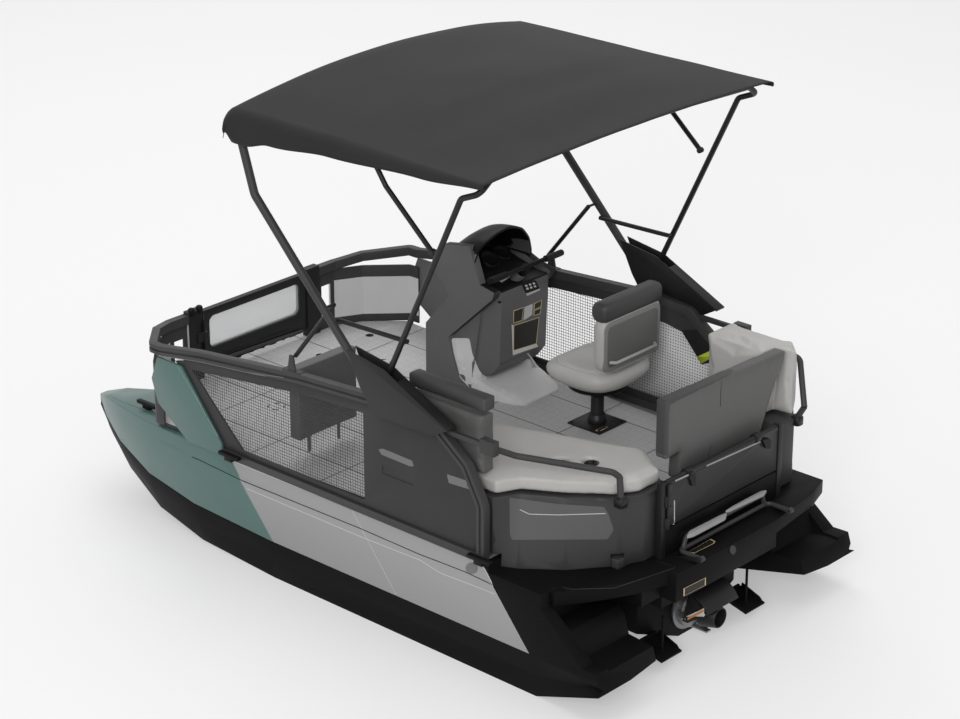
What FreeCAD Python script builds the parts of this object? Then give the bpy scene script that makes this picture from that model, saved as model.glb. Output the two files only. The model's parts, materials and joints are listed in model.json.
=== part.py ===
import FreeCAD, Part
import math
import os
import Sketcher

# A compact three-hulled pontoon boat with a jet pump, a railed deck and a folding sun top.
# +X runs to the bow, +Y to port and +Z up. The keels stand on z = 0 and amidships is x = 0.

Vector = FreeCAD.Vector
doc = FreeCAD.newDocument("PontoonBoat")
sheet = doc.addObject("Spreadsheet::Sheet", "Sizes")

# Driving dimensions, in millimetres and degrees
SIZES = {
    # side hulls and their coloured covers
    "hull_length": 4000, "hull_half_beam": 1020, "hull_depth": 616, "keel_flat": 110,
    "cover_wall": 12, "cover_gap": 0.4, "cover_ledge": 8, "ledge_drop": 105, "ledge_height": 26,
    "cover_join_x": 600, "cover_end_x": -1208, "cover_rake": 315, "shelf_front_x": -1250,
    "tail_front_x": -1600, "tail_foot_x": -1870, "shoe_z": 282, "shoe_x": -1962, "shoe_low_z": 172,
    "cove_outer_y": 945, "cove_floor_x": -1800, "cove_ledge_x": -1755,
    "cove_ledge_z": 400, "cove_sink": 14,
    # centre hull and engine well
    "centre_half_beam": 400, "centre_stern_x": -1700, "centre_bow_x": 1860, "centre_chine": 150,
    "centre_top": 556, "well_front_x": -560, "well_length": 760, "well_width": 420,
    "well_depth": 330, "engine_length": 640, "engine_width": 340, "engine_height": 290,
    # deck
    "deck_frame_height": 60, "deck_panel_height": 26,
    "deck_half_width": 974, "deck_bow_x": 1500, "deck_corner_x": 1200, "deck_shoulder_x": 1415,
    "deck_shoulder_y": 790, "deck_bow_half_width": 640, "deck_stern_x": -1690,
    "deck_wing_x": -1251, "deck_stern_half_width": 560, "deck_frame_bow_x": 1640, "anchor_radius": 24, "anchor_x": 1205,
    "anchor_port_y": -260, "anchor_starboard_y": -667, "bow_deck_tip_x": 1770,
    "bow_deck_half_width": 640, "bow_deck_tip_half_width": 430,
    # stern platform
    "platform_aft_x": -1945, "platform_height": 75, "platform_top": 575,
    "platform_side_x": -1625, "platform_side_y": 955, "platform_turn_x": -1745,
    "platform_turn_y": 772, "platform_bend_x": -1840, "platform_bend_y": 587,
    "platform_step_x": -1892, "platform_far_y": 800,
    "platform_half_flat": 410, "beam_aft_x": -1850,
    "beam_height": 80, "block_depth": 150, "block_half_width": 400,
    # rails
    "rail_inset": 20, "rail_height": 52, "rail_width": 44, "rail_slot": 14, "rail_slot_depth": 9,
    "rail_fore_x": 1120, "rail_aft_x": -1205, "rail_peak_z": 1280, "rail_foot_z": 656.4,
    "rail_bend": 70, "rail_corner_x": 1390, "rail_corner_y": 800, "rail_front_x": 1474,
    "rail_front_y": 640, "rail_front_z": 1022, "sill_height": 40, "sill_front_x": 640,
    "infill_wall": 12, "infill_gap": 0.4, "mesh_wall": 3, "fairing_wall": 16,
    "window_fore_x": 880, "window_foot_x": 500, "window_aft_x": -400, "window_margin": 62,
    "pocket_length": 210, "pocket_height": 46, "pocket_depth": 5, "pocket_x": -740,
    "pocket_z": 880, "front_window_length": 70, "front_window_height": 190,
    # bow posts and gate
    "post_width": 100, "post_depth": 46, "post_top": 1062, "gate_half_width": 400,
    "gate_gap": 8, "gate_wall": 34, "gate_foot_z": 690, "gate_top_z": 1040, "gate_border": 46,
    "gate_sill": 112, "window_wall": 5, "window_corner": 38, "hinge_radius": 8,
    "hinge_length": 60, "hinge_inset": 55, "hinge_play": 0.4,
    # stern gate, its posts and the folded ladder
    "stern_gate_x": -1770, "stern_gate_port_y": 296, "stern_gate_starboard_y": -606,
    "stern_gate_foot_z": 736, "stern_gate_top_z": 970, "stern_gate_wall": 30, "stern_post": 36,
    "stern_bar_radius": 17, "clamp_length": 34, "clamp_inset": 170, "threshold_height": 153,
    "ladder_x": -1822, "ladder_reach": 140, "ladder_radius": 12, "ladder_half_width": 365,
    "ladder_foot": 26, "ladder_rise": 62, "ladder_taper": 55, "ladder_y": -130,
    "ladder_ear": 8, "ladder_pin": 6,
    # sun top
    "plate_y": 1057, "plate_gap": 56, "plate_wall": 6, "plate_lip": 10, "arm_radius": 22,
    "pole_radius": 15, "link_radius": 12, "link_y": 1010, "brace_y": 982, "pin_radius": 7,
    "arm_foot_x": -500, "arm_foot_z": 1370, "arm_bend_x": 285, "arm_bend_z": 2180,
    "arm_head_x": 392, "arm_head_z": 2500, "arm_bend": 150,
    "housing_length": 678, "housing_reach": 122, "housing_top": 1537, "lip_end_x": -720,
    "pole_foot_x": -612, "pole_foot_z": 1420, "pole_bend_x": -1119, "pole_bend_z": 2490,
    "pole_head_x": -1235, "mid_foot_x": -905, "mid_foot_z": 2165, "mid_bend_x": -605,
    "mid_bend_z": 2425, "mid_head_x": -510, "mid_radius": 13, "joint_gap": 0.4,
    "link_arm_x": -245, "link_arm_z": 1633, "link_pole_x": -720, "link_pole_z": 1648,
    "brace_foot_x": 100, "brace_foot_z": 1335, "brace_arm_x": -187, "brace_arm_z": 1693,
    "bracket_length": 120, "bracket_wall": 10,
    "canopy_half_width": 1108, "canopy_front_x": 455, "canopy_aft_x": -1305,
    "canopy_edge_z": 2608, "canopy_crown": 110, "canopy_wall": 10, "valance": 190,
    "canopy_clear": 2.4,
    # cleats and handrails
    "cleat_length": 150, "cleat_width": 30, "cleat_height": 40, "cleat_foot": 56,
    "cleat_bow_x": 1442, "cleat_bow_y": 834, "cleat_mid_x": 572, "cleat_aft_x": -1215,
    "hand_radius": 16, "hand_bend": 45, "hand_first_x": -1300, "hand_first_y": 868,
    "hand_first_z": 1170, "hand_second_x": -1560, "hand_second_y": 640, "hand_second_z": 1110,
    "hand_third_x": -1655, "hand_third_y": 560, "hand_third_z": 1088, "hand_foot_x": -1672,
    "hand_foot_y": 530, "hand_foot_z": 1058, "hand_end_x": -1765, "hand_end_y": 860,
    "hand_end_z": 1000, "hand_knee_x": -1640, "hand_knee_y": 978, "hand_start_x": -1290,
    "hand_start_z": 1245, "block_length": 90, "block_height": 74, "block_wall": 40,
    "arm_bar_front_x": -900, "arm_bar_height": 26,
    # console
    "console_y": -650, "console_half_width": 255, "console_fore_x": 492, "console_aft_x": -21,
    "console_top": 1535, "console_wall": 48, "pod_inset": 62, "pod_round": 16,
    "cowl_aft_x": 92, "cowl_fore_x": 440, "cowl_foot_z": 1330, "cowl_top": 1602,
    "footwell_aft_x": -150, "footwell_fore_x": 172, "footwell_height": 104,
    "footwell_toe": 14, "bar_radius": 13, "bar_half_length": 300, "stem_radius": 24,
    "stem_foot_x": 8, "stem_foot_z": 1352, "stem_length": 52, "boss_length": 70,
    "grip_radius": 18, "grip_length": 120,
    "stem_gap": 0.5,
    # helm seat
    "seat_x": -590, "seat_y": -600, "seat_plate": 230, "seat_plate_wall": 10, "post_radius": 36,
    "post_height": 226, "seat_gap": 0.3, "seat_pan": 30, "seat_length": 460, "seat_width": 490,
    "seat_cushion": 112, "seat_back_wall": 105, "seat_back_height": 400, "seat_round": 50,
    "seat_back_round": 38, "seat_back_lean": 8, "bolster_height": 92, "bolster_grow": 12,
    # lounges and loose backrests
    "lounge_base_height": 298, "lounge_cushion": 92, "lounge_round": 130, "lounge_aft_x": -1735,
    "lounge_outer_y": 940, "port_front_x": -640, "port_front_y": 400, "port_corner_x": -1522,
    "port_corner_y": 108, "port_aft_y": 260, "lounge_side_x": -1215, "lounge_hip_x": -1330,
    "lounge_hip_y": 885, "lounge_knee_x": -1517, "lounge_knee_y": 737, "lounge_heel_x": -1685,
    "lounge_heel_y": 522, "lounge_toe_y": 400, "seat_hip_x": -1280, "seat_hip_y": 812,
    "seat_knee_x": -1465, "seat_knee_y": 702, "seat_heel_x": -1668, "seat_heel_y": 538,
    "seat_toe_y": 410, "lounge_skirt_z": 575.4,
    "starboard_front_x": -1215, "starboard_inner_y": -700, "starboard_heel_y": 820, "starboard_knee_x": -1640,
    "starboard_cushion": 385, "starboard_room_y": 812, "starboard_round": 60,
    "soft_gap": 0.4, "side_back_wall": 92, "side_back_height": 330, "side_back_fore_x": -640,
    "side_back_aft_x": -1160, "side_bolster": 88, "cup_radius": 42,
    "cup_depth": 60, "cup_fore_x": -1309, "cup_fore_y": 538, "cup_aft_x": -1416,
    "cup_aft_y": 441, "stern_back_x": -1700, "stern_back_port_y": 210,
    "stern_back_starboard_y": -790, "stern_back_wall": 85, "stern_back_top": 1365, "stern_back_drop": 30,
    "stern_back_slant": 215, "stern_notch_y": 95, "stern_notch_z": 1040, "stern_back_leg": 238, "back_leg_radius": 13, "back_leg": 110, "fore_back_x": 235,
    "fore_back_port_y": 850, "fore_back_starboard_y": 395, "fore_back_height": 430,
    # jet pump, steering nozzle and reverse bucket
    "pump_z": 162, "pump_radius": 104, "pump_wall": 8, "pump_length": 48, "taper_length": 44,
    "throat_radius": 50, "throat_wall": 6, "throat_length": 44, "flange": 22, "flange_wall": 12,
    "nozzle_radius": 76, "nozzle_mouth": 54, "nozzle_length": 92, "nozzle_overlap": 14,
    "nozzle_wall": 6, "nozzle_pin": 8, "ear_width": 36, "hub_radius": 28, "blade_wall": 6,
    "blade_turn": 38, "blade_gap": 8, "impeller_length": 40, "shaft_radius": 12,
    "bucket_pivot_x": -1790, "bucket_radius": 158, "bucket_wall": 8, "bucket_half_width": 128,
    "bucket_start": 97, "bucket_sweep": 56, "bucket_gap": 0.4, "cheek_wall": 8,
    # trim tabs
    "tab_length": 175, "tab_width": 160, "tab_wall": 12, "tab_y": 345, "tab_z": 112,
    "tab_droop": 14, "tab_barrel": 11, "rod_radius": 7, "rod_length": 190, "rod_set": 110,
}
for row, (name, value) in enumerate(SIZES.items(), start=1):
    sheet.set("A%d" % row, name)
    sheet.set("B%d" % row, str(value))
    sheet.setAlias("B%d" % row, name)
doc.recompute()


class Size:
    """A length that knows its value and the sheet expression that gives it."""

    def __init__(self, value, text):
        self.value = float(value)
        self.text = text

    def __float__(self):
        return self.value

    def joined(self, other, sign, value):
        text = other.text if isinstance(other, Size) else repr(other)
        return Size(value, "(%s %s %s)" % (self.text, sign, text))

    def __add__(self, other):
        return self.joined(other, "+", self.value + float(other))

    def __sub__(self, other):
        return self.joined(other, "-", self.value - float(other))

    def __mul__(self, other):
        return self.joined(other, "*", self.value * float(other))

    def __truediv__(self, other):
        return self.joined(other, "/", self.value / float(other))

    def __neg__(self):
        return Size(-self.value, "(0 - %s)" % self.text)


class Numbers:
    """Sizes read back from the sheet as plain numbers."""

    def __getattr__(self, name):
        return float(sheet.get(name))


class Bound:
    """Sizes as expressions on the sheet."""

    def __getattr__(self, name):
        return Size(sheet.get(name), "Sizes." + name)


at = Numbers()
by = Bound()
ZERO = Size(0, "0")
nodes = []

# Heights that several pieces share
FLOOR = by.hull_depth + by.deck_panel_height
RAIL_TOP_FRONT = by.rail_front_z + by.rail_height / 2


def node(obj, label):
    obj.Label = label
    nodes.append(obj)
    return obj


def feature(label, shape, hidden=False):
    """A piece whose shape is worked out from sizes read off the sheet."""
    obj = doc.addObject("Part::Feature", label)
    obj.Shape = shape
    obj.Placement = FreeCAD.Placement()
    return obj if hidden else node(obj, label)


def place(obj, spot):
    for axis, size in zip("xyz", spot):
        obj.setExpression("Placement.Base." + axis, size.text)
    return obj


def box(name, length, width, height, spot):
    obj = doc.addObject("Part::Box", name)
    obj.setExpression("Length", length.text)
    obj.setExpression("Width", width.text)
    obj.setExpression("Height", height.text)
    return place(obj, spot)


def cylinder(name, radius, height, spot, axis=(0, 0, 1)):
    obj = doc.addObject("Part::Cylinder", name)
    obj.setExpression("Radius", radius.text)
    obj.setExpression("Height", height.text)
    obj.Placement = FreeCAD.Placement(Vector(), FreeCAD.Rotation(Vector(0, 0, 1), Vector(*axis)))
    return place(obj, spot)


def union(label, parts):
    obj = doc.addObject("Part::MultiFuse", label)
    obj.Shapes = parts
    return obj


def cut(label, base, tool):
    obj = doc.addObject("Part::Cut", label)
    obj.Base = base
    obj.Tool = tool
    return obj


def both_sides(name, port):
    """A port piece and its starboard twin."""
    node(port, name + "_port")
    twin = doc.addObject("Part::Mirroring", name + "_starboard")
    twin.Source = port
    twin.Normal = Vector(0, 1, 0)
    node(twin, name + "_starboard")


def pair(name, shape):
    """Like pieces at port and starboard, kept as one node."""
    return feature(name, twinned(shape))


def padded(label, plane, outline, depth, start=ZERO, rounded=None, round_way=None):
    """A body padded from one closed outline, whose corners are bound to the sheet."""
    body = doc.addObject("PartDesign::Body", label)
    sketch = body.newObject("Sketcher::SketchObject", label + "_outline")
    origin_plane = [f for f in body.Origin.OriginFeatures if f.Role == plane][0]
    sketch.AttachmentSupport = [(origin_plane, "")]
    sketch.MapMode = "FlatFace"
    sketch.setExpression("AttachmentOffset.Base.z", start.text)
    count = len(outline)
    for index, (x, y) in enumerate(outline):
        to_x, to_y = outline[(index + 1) % count]
        sketch.addGeometry(Part.LineSegment(Vector(float(x), float(y), 0),
                                            Vector(float(to_x), float(to_y), 0)))
    for index in range(count):
        sketch.addConstraint(Sketcher.Constraint("Coincident", (index - 1) % count, 2, index, 1))
    for index, corner in enumerate(outline):
        for kind, size in zip(("DistanceX", "DistanceY"), corner):
            spot = Sketcher.Constraint(kind, -1, 1, index, 1, float(size))
            number = sketch.addConstraint(spot)
            sketch.setExpression("Constraints[%d]" % number, size.text)
    pad = body.newObject("PartDesign::Pad", label + "_pad")
    pad.Profile = sketch
    pad.setExpression("Length", depth.text)
    doc.recompute()
    if rounded:
        fillet = body.newObject("PartDesign::Fillet", label + "_rounding")
        fillet.Base = (pad, edges_along(pad.Shape, Vector(*round_way)))
        fillet.setExpression("Radius", rounded.text)
    return body


def edges_along(shape, way):
    """Names of the straight edges that run along a direction."""
    found = []
    for number, edge in enumerate(shape.Edges, start=1):
        run = edge.Vertexes[-1].Point - edge.Vertexes[0].Point
        if run.Length > 0 and abs(run.normalize().dot(way)) > 0.99:
            found.append("Edge%d" % number)
    return found


def polygon(points):
    spots = [Vector(*p) for p in points]
    return Part.makePolygon(spots + spots[:1])


def prism(points, way):
    """A flat closed outline pushed along a vector."""
    return Part.Face(polygon(points)).extrude(Vector(*way))


def ruled(sections):
    """A solid stretched over closed sections with matching corners."""
    return Part.makeLoft([polygon(s) for s in sections], True, True)


def brick(low, high):
    size = Vector(*high) - Vector(*low)
    return Part.makeBox(size.x, size.y, size.z, Vector(*low))


def twinned(shape):
    """A shape with its mirror image on the starboard side."""
    return Part.makeCompound([shape, shape.mirror(Vector(), Vector(0, 1, 0))])


def bent_path(points, bend):
    """Straight runs joined by tangent arcs."""
    spots = [Vector(*p) for p in points]
    edges = []
    start = spots[0]
    for before, corner, after in zip(spots, spots[1:], spots[2:]):
        into = (corner - before).normalize()
        away = (after - corner).normalize()
        turn = into.getAngle(away)
        trim = bend * math.tan(turn / 2)
        first = corner - into * trim
        last = corner + away * trim
        inward = (away - into).normalize()
        middle = corner + inward * (bend / math.cos(turn / 2) - bend)
        edges.append(Part.LineSegment(start, first).toShape())
        edges.append(Part.Arc(first, middle, last).toShape())
        start = last
    edges.append(Part.LineSegment(start, spots[-1]).toShape())
    return Part.Wire(edges)


def tube(points, radius, bend):
    """A round bar along a bent path."""
    path = bent_path(points, bend)
    first = Vector(*points[0])
    ring = Part.Wire([Part.Circle(first, Vector(*points[1]) - first, radius).toShape()])
    return path.makePipeShell([ring], True, False)


def rod(start, end, radius):
    """A straight round bar from one point to another."""
    way = Vector(*end) - Vector(*start)
    return Part.makeCylinder(radius, way.Length, Vector(*start), way)


def swept_bar(points, profile, side, bend):
    """A bar of a given (side, up) section along a bent path, kept square to one direction."""
    path = bent_path(points, bend)
    first = Vector(*points[0])
    way = (Vector(*points[1]) - first).normalize()
    held = Vector(*side)
    across = held.cross(way).normalize()
    ring = polygon([tuple(first + held * a + across * b) for a, b in profile])
    shell = Part.BRepOffsetAPI.MakePipeShell(path)
    shell.setBiNormalMode(held)
    shell.add(ring)
    shell.build()
    shell.makeSolid()
    return shell.shape()


def volume_of(solid):
    return solid.Volume


def fused(shapes):
    return shapes[0].multiFuse(shapes[1:]) if len(shapes) > 1 else shapes[0]


# Side hulls: shares of the half length, half beam and depth at each station, stern to bow
STATION_SHARES = (-1, -0.78, 0.15, 0.45, 0.65, 0.82, 0.93, 1)
BEAM_SHARES = (1.025, 1, 1, 1, 0.965, 0.875, 0.785, 0.71)
KEEL_Y_SHARES = (0.915, 0.919, 0.919, 0.9, 0.86, 0.79, 0.735, 0.7)
KEEL_Z_SHARES = (0.29, 0, 0, 0.02, 0.1, 0.27, 0.47, 0.68)
EDGE_SHARES = (0.36, 0.36, 0.36, 0.4, 0.47, 0.565, 0.655, 0.745)
SHEER_SHARES = (1, 1, 1, 1, 0.985, 0.93, 0.865, 0.79)
INNER_SHARES = (0.6, 0.55, 0.55, 0.55, 0.56, 0.58, 0.62, 0.655)
LEDGE_SHARES = (1, 1, 1, 1, 0.6, 0.3, 0.1, 0.02)
FLAT_SHARES = (1.1, 0.6, 0.5, 0.4, 0.3, 0.2, 0.12, 0.1)
CHINE_SHARE = 0.5
CHINE_SET_SHARE = 0.3


def hull_stations():
    """For each station: x, outer y, keel y, keel z, colour edge, sheer, inner y, ledge, flat."""
    beam = at.hull_half_beam
    depth = at.hull_depth
    columns = zip(STATION_SHARES, BEAM_SHARES, KEEL_Y_SHARES, KEEL_Z_SHARES, EDGE_SHARES,
                  SHEER_SHARES, INNER_SHARES, LEDGE_SHARES, FLAT_SHARES)
    for x, out, keel_y, keel_z, edge, sheer, inner, ledge, flat in columns:
        yield (x * at.hull_length / 2, out * beam, keel_y * beam, keel_z * depth, edge * depth,
               sheer * depth, inner * beam, ledge * at.cover_ledge, flat * at.keel_flat)


def hull_section(x, out, keel_y, keel_z, edge, sheer, inner, ledge, flat):
    """Outer section of the port hull, from the inner sheer down round the keel and up."""
    chine = keel_z + (edge - keel_z) * CHINE_SHARE
    foot = out - (out - keel_y) * CHINE_SET_SHARE
    scale = (sheer - edge) / (at.hull_depth * (1 - EDGE_SHARES[1]))
    crest = sheer - at.ledge_drop * scale
    step = crest + at.ledge_height * scale
    return [(x, inner, sheer), (x, inner, chine), (x, keel_y - flat, keel_z),
            (x, keel_y + flat, keel_z), (x, foot, chine), (x, out - ledge, edge),
            (x, out, crest), (x, out - ledge, step), (x, out - ledge, sheer)]


def cover_section(wall, station):
    """Section of the coloured skin: the side wall and the top, one wall thick."""
    outer = hull_section(*station)
    x, out, keel_y, keel_z, edge, sheer, inner, ledge, flat = station
    thin = min(wall, (out - inner) / 2)
    low = min(wall, (sheer - edge) / 2)
    return [outer[0], outer[8], outer[7], outer[6], outer[5], (x, out - ledge - thin, edge),
            (x, out - ledge - thin, sheer - low), (x, inner, sheer - low)]


def forward_of(x_top):
    """Everything forward of a raked joint that leans aft towards the keel."""
    top = at.hull_depth
    foot = EDGE_SHARES[1] * top
    slope = at.cover_rake / (top - foot)
    reach = at.hull_length
    return prism([(x_top + slope * top, 0, top * 2), (x_top - slope * top * 2, 0, -top),
                  (reach, 0, -top), (reach, 0, top * 2)], (0, at.hull_half_beam * 2, 0))


def stern_cut():
    """What is above the hull's stern: the shelf, the leaning pillar, the cove and the shoe."""
    side = at.hull_half_beam * 2
    top = at.hull_depth * 2
    aft = -at.hull_length
    under = at.platform_top - at.platform_height - at.cover_gap
    shelf = brick((aft, 0, at.platform_top), (at.shelf_front_x, side, top))
    tail = prism([(at.tail_front_x, 0, under), (at.tail_front_x, 0, top), (aft, 0, top),
                  (aft, 0, at.shoe_z), (at.tail_foot_x, 0, at.shoe_z)], (0, side, 0))
    face = prism([(at.shoe_x, 0, at.shoe_z), (-at.hull_length / 2, 0, at.shoe_low_z),
                  (aft, 0, at.shoe_low_z), (aft, 0, top), (at.shoe_x, 0, top)], (0, side, 0))
    cove = prism([(aft, 0, at.shoe_z - at.cove_sink), (at.cove_floor_x, 0, at.shoe_z - at.cove_sink),
                  (at.cove_ledge_x, 0, at.cove_ledge_z), (at.tail_front_x, 0, at.cove_ledge_z),
                  (at.tail_front_x, 0, top), (aft, 0, top)], (0, at.cove_outer_y, 0))
    return fused([shelf, tail, face, cove])


def side_hulls():
    stations = list(hull_stations())
    whole = ruled([hull_section(*s) for s in stations]).cut(stern_cut())
    skin = ruled([cover_section(at.cover_wall, s) for s in stations])
    cover = ruled([cover_section(at.cover_wall - at.cover_gap, s) for s in stations])
    hull = feature("hull", whole.cut(skin.common(forward_of(at.cover_end_x))), hidden=True)
    both_sides("hull", hull)
    pair("bow_covers", cover.common(forward_of(at.cover_join_x + at.cover_gap / 2)))
    side = cover.common(forward_of(at.cover_end_x + at.cover_gap))
    pair("side_covers", side.cut(forward_of(at.cover_join_x - at.cover_gap / 2)))


# Centre hull: shares of its length, beam and depth, stern to bow
CENTRE_SHARES = (0, 0.62, 0.8, 0.93, 1)
CENTRE_BEAM_SHARES = (1, 1, 0.85, 0.55, 0.2)
CENTRE_KEEL_SHARES = (0, 0, 0.12, 0.42, 0.8)
CENTRE_FLAT_SHARE = 0.14


def centre_hull():
    sections = []
    for along, beam, keel in zip(CENTRE_SHARES, CENTRE_BEAM_SHARES, CENTRE_KEEL_SHARES):
        x = at.centre_stern_x + (at.centre_bow_x - at.centre_stern_x) * along
        half = at.centre_half_beam * beam
        low = at.centre_top * keel
        chine = low + (at.centre_top - low) * at.centre_chine / at.centre_top
        flat = half * CENTRE_FLAT_SHARE
        sections.append([(x, -half, at.centre_top), (x, -half, chine), (x, -flat, low),
                         (x, flat, low), (x, half, chine), (x, half, at.centre_top)])
    solid = feature("centre_block", ruled(sections), hidden=True)
    well = box("engine_well", by.well_length, by.well_width, by.well_depth,
               (by.well_front_x - by.well_length, -by.well_width / 2,
                by.centre_top - by.well_depth))
    node(cut("hull_centre", solid, well), "hull_centre")
    engine = box("engine_block", by.engine_length, by.engine_width, by.engine_height,
                 (by.well_front_x - by.well_length / 2 - by.engine_length / 2,
                  -by.engine_width / 2, by.centre_top - by.well_depth))
    node(engine, "engine_block")


DECK_FRAME_SHARE = 0.542


def deck():
    inner = by.hull_half_beam * DECK_FRAME_SHARE
    frame = padded("deck_frame", "XY_Plane",
                   [(by.deck_stern_x, -inner), (by.deck_frame_bow_x, -inner),
                    (by.deck_frame_bow_x, inner), (by.deck_stern_x, inner)],
                   by.deck_frame_height, by.centre_top)
    node(frame, "deck_frame")
    port = [(by.deck_stern_x, by.deck_stern_half_width),
            (by.deck_wing_x, by.deck_stern_half_width), (by.deck_wing_x, by.deck_half_width),
            (by.deck_corner_x, by.deck_half_width), (by.deck_shoulder_x, by.deck_shoulder_y),
            (by.deck_bow_x, by.deck_bow_half_width),
            (by.bow_deck_tip_x, by.bow_deck_tip_half_width)]
    starboard = [(x, -y) for x, y in port[::-1]]
    slab = padded("deck_slab", "XY_Plane", port + starboard, by.deck_panel_height, by.hull_depth)
    anchors = union("deck_anchors",
                    [cylinder("anchor_hole", by.anchor_radius, by.deck_panel_height,
                              (by.anchor_x, side, by.hull_depth))
                     for side in (by.anchor_port_y, by.anchor_starboard_y)])
    node(cut("deck_panel", slab, anchors), "deck_panel")


def platform():
    """Stern platform: a shelf round the seats with a straight centre piece, on its cross beam."""
    foot = at.platform_top - at.platform_height
    deck_side = at.hull_half_beam * 2
    for_side = [(at.tail_front_x, at.platform_side_y), (at.platform_side_x, at.platform_side_y),
                (at.platform_turn_x, at.platform_turn_y), (at.platform_bend_x, at.platform_bend_y),
                (at.platform_step_x, at.platform_half_flat), (at.platform_aft_x, at.platform_half_flat)]
    other = [(at.platform_aft_x, -at.platform_half_flat), (at.platform_step_x, -at.platform_far_y),
             (at.platform_bend_x, -at.platform_side_y), (at.tail_front_x, -at.platform_side_y)]
    slab = prism([(x, y, foot) for x, y in for_side + other], (0, 0, at.platform_height))
    stern = at.centre_stern_x - at.cover_gap
    front = brick((stern, -at.deck_stern_half_width - at.cover_gap, 0),
                  (0, at.deck_stern_half_width + at.cover_gap, at.hull_depth))
    beam_half = at.deck_stern_half_width - at.cover_gap
    beam = brick((at.beam_aft_x, -beam_half, foot - at.beam_height), (stern, beam_half, foot))
    block = brick((at.beam_aft_x, -at.block_half_width, foot - at.block_depth),
                  (stern, at.block_half_width, foot))
    apron = brick((at.platform_aft_x, -at.platform_half_flat, foot - at.beam_height),
                  (at.beam_aft_x, at.platform_half_flat, foot))
    feature("stern_platform", fused([slab.cut(front), beam, block, apron]).removeSplitter())


# Side rail: shares of the run from bow to stern and of the rise from foot to peak
RAIL_RUN_SHARES = (0, 0.133, 0.459, 0.76, 0.865, 0.955, 1, 1)
RAIL_RISE_SHARES = (0.69, 0.777, 0.923, 1, 0.965, 0.72, 0.42, 0)


def rail_points():
    run = at.rail_aft_x - at.rail_fore_x
    rise = at.rail_peak_z - at.rail_foot_z
    return [(at.rail_fore_x + run * x, rail_line(), at.rail_foot_z + rise * z)
            for x, z in zip(RAIL_RUN_SHARES, RAIL_RISE_SHARES)]


def rail_z(x):
    """Height of the side rail's centre line at x."""
    spots = rail_points()
    for (x0, y0, z0), (x1, y1, z1) in zip(spots, spots[1:]):
        if x1 <= x <= x0 and x0 != x1:
            return z0 + (z1 - z0) * (x - x0) / (x1 - x0)
    return spots[0][2]


def rail_line():
    """The rails stand just inside the side hulls' outer faces."""
    return at.hull_half_beam - at.rail_inset


def rail_profile():
    """Extruded rail section with a T-slot in its outer face."""
    half = at.rail_height / 2
    side = at.rail_width / 2
    slot = at.rail_slot / 2
    deep = side - at.rail_slot_depth
    return [(-side, -half), (side, -half), (side, -slot), (deep, -slot), (deep, slot),
            (side, slot), (side, half), (-side, half)]


def bow_rail_points(z_shift):
    fore_z = rail_points()[0][2] + z_shift
    front_z = at.rail_front_z + z_shift
    end_y = at.gate_half_width + at.gate_gap + at.post_width
    return [(at.rail_fore_x, rail_line(), fore_z), (at.rail_fore_x + at.rail_bend, rail_line(), fore_z),
            (at.rail_corner_x, at.rail_corner_y, (fore_z + front_z) / 2),
            (at.rail_front_x, at.rail_front_y, front_z), (at.rail_front_x, end_y, front_z)]


def side_rail():
    return swept_bar(rail_points(), rail_profile(), (0, 1, 0), at.rail_bend)


def rails():
    """Side rail, bow rail, sill and brace bracket of one side, all one welded frame."""
    half = at.rail_width / 2
    sill = brick((at.rail_aft_x - half, rail_line() - half, at.hull_depth + at.joint_gap),
                 (at.sill_front_x, rail_line() + half, at.rail_foot_z))
    turned = [(b, a) for a, b in rail_profile()]
    bow = swept_bar(bow_rail_points(0), turned, (0, 0, 1), at.rail_bend / 2)
    frame = fused([side_rail(), sill, bow, brace_bracket()])
    both_sides("rail", feature("rail", frame, hidden=True))


def beside(spots, gap):
    """Corners of a line that runs beside the given one, gap away on its left."""
    corners = []
    for (x0, z0), (x1, z1), (x2, z2) in zip(spots, spots[1:], spots[2:]):
        fore = Vector(z0 - z1, x1 - x0, 0).normalize()
        back = Vector(z1 - z2, x2 - x1, 0).normalize()
        corners.append(Vector(x1, z1, 0) + (fore + back) * (gap / (1 + fore.dot(back))))
    return [(c.x, c.y) for c in corners]


def infill_outline():
    """Side panel below the rail, from its aft post to the raked fairing joint."""
    under = at.rail_height / 2 + at.rail_slot / 4
    aft = at.rail_aft_x + under
    foot = at.hull_depth + at.sill_height + at.infill_gap
    spots = [(aft, foot), (at.sill_front_x + at.infill_gap, foot)]
    spots.append((at.window_fore_x + at.window_margin * 2, rail_z(at.rail_fore_x) - under))
    return spots + beside([(x, z) for x, y, z in rail_points()], under)


def window_outline(gap):
    """Raked mesh window: its fore edge leans with the fairing, its top follows the rail."""
    foot = at.hull_depth + at.sill_height + at.window_margin / 2 + gap
    drop = at.rail_height / 2 + at.window_margin + gap
    fore = at.window_fore_x - gap
    middle = rail_points()[2][0]
    aft = at.window_aft_x + gap
    return [(aft, foot), (at.window_foot_x - gap, foot), (fore, rail_z(fore) - drop),
            (middle, rail_z(middle) - drop), (aft, rail_z(aft) - drop)]


def side_panels():
    y = rail_line() - at.infill_wall / 2
    wall = (0, at.infill_wall, 0)
    panel = prism([(x, y, z) for x, z in infill_outline()], wall)
    window = prism([(x, y, z) for x, z in window_outline(0)], wall)
    pocket = brick((at.pocket_x, y + at.infill_wall - at.pocket_depth, at.pocket_z),
                   (at.pocket_x + at.pocket_length, y + at.infill_wall,
                    at.pocket_z + at.pocket_height))
    panel = panel.cut(window).cut(pocket)
    pair("side_panels", panel)
    mesh_y = rail_line() - at.mesh_wall / 2
    mesh = prism([(x, mesh_y, z) for x, z in window_outline(at.infill_gap)], (0, at.mesh_wall, 0))
    pair("mesh_panels", mesh)


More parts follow.
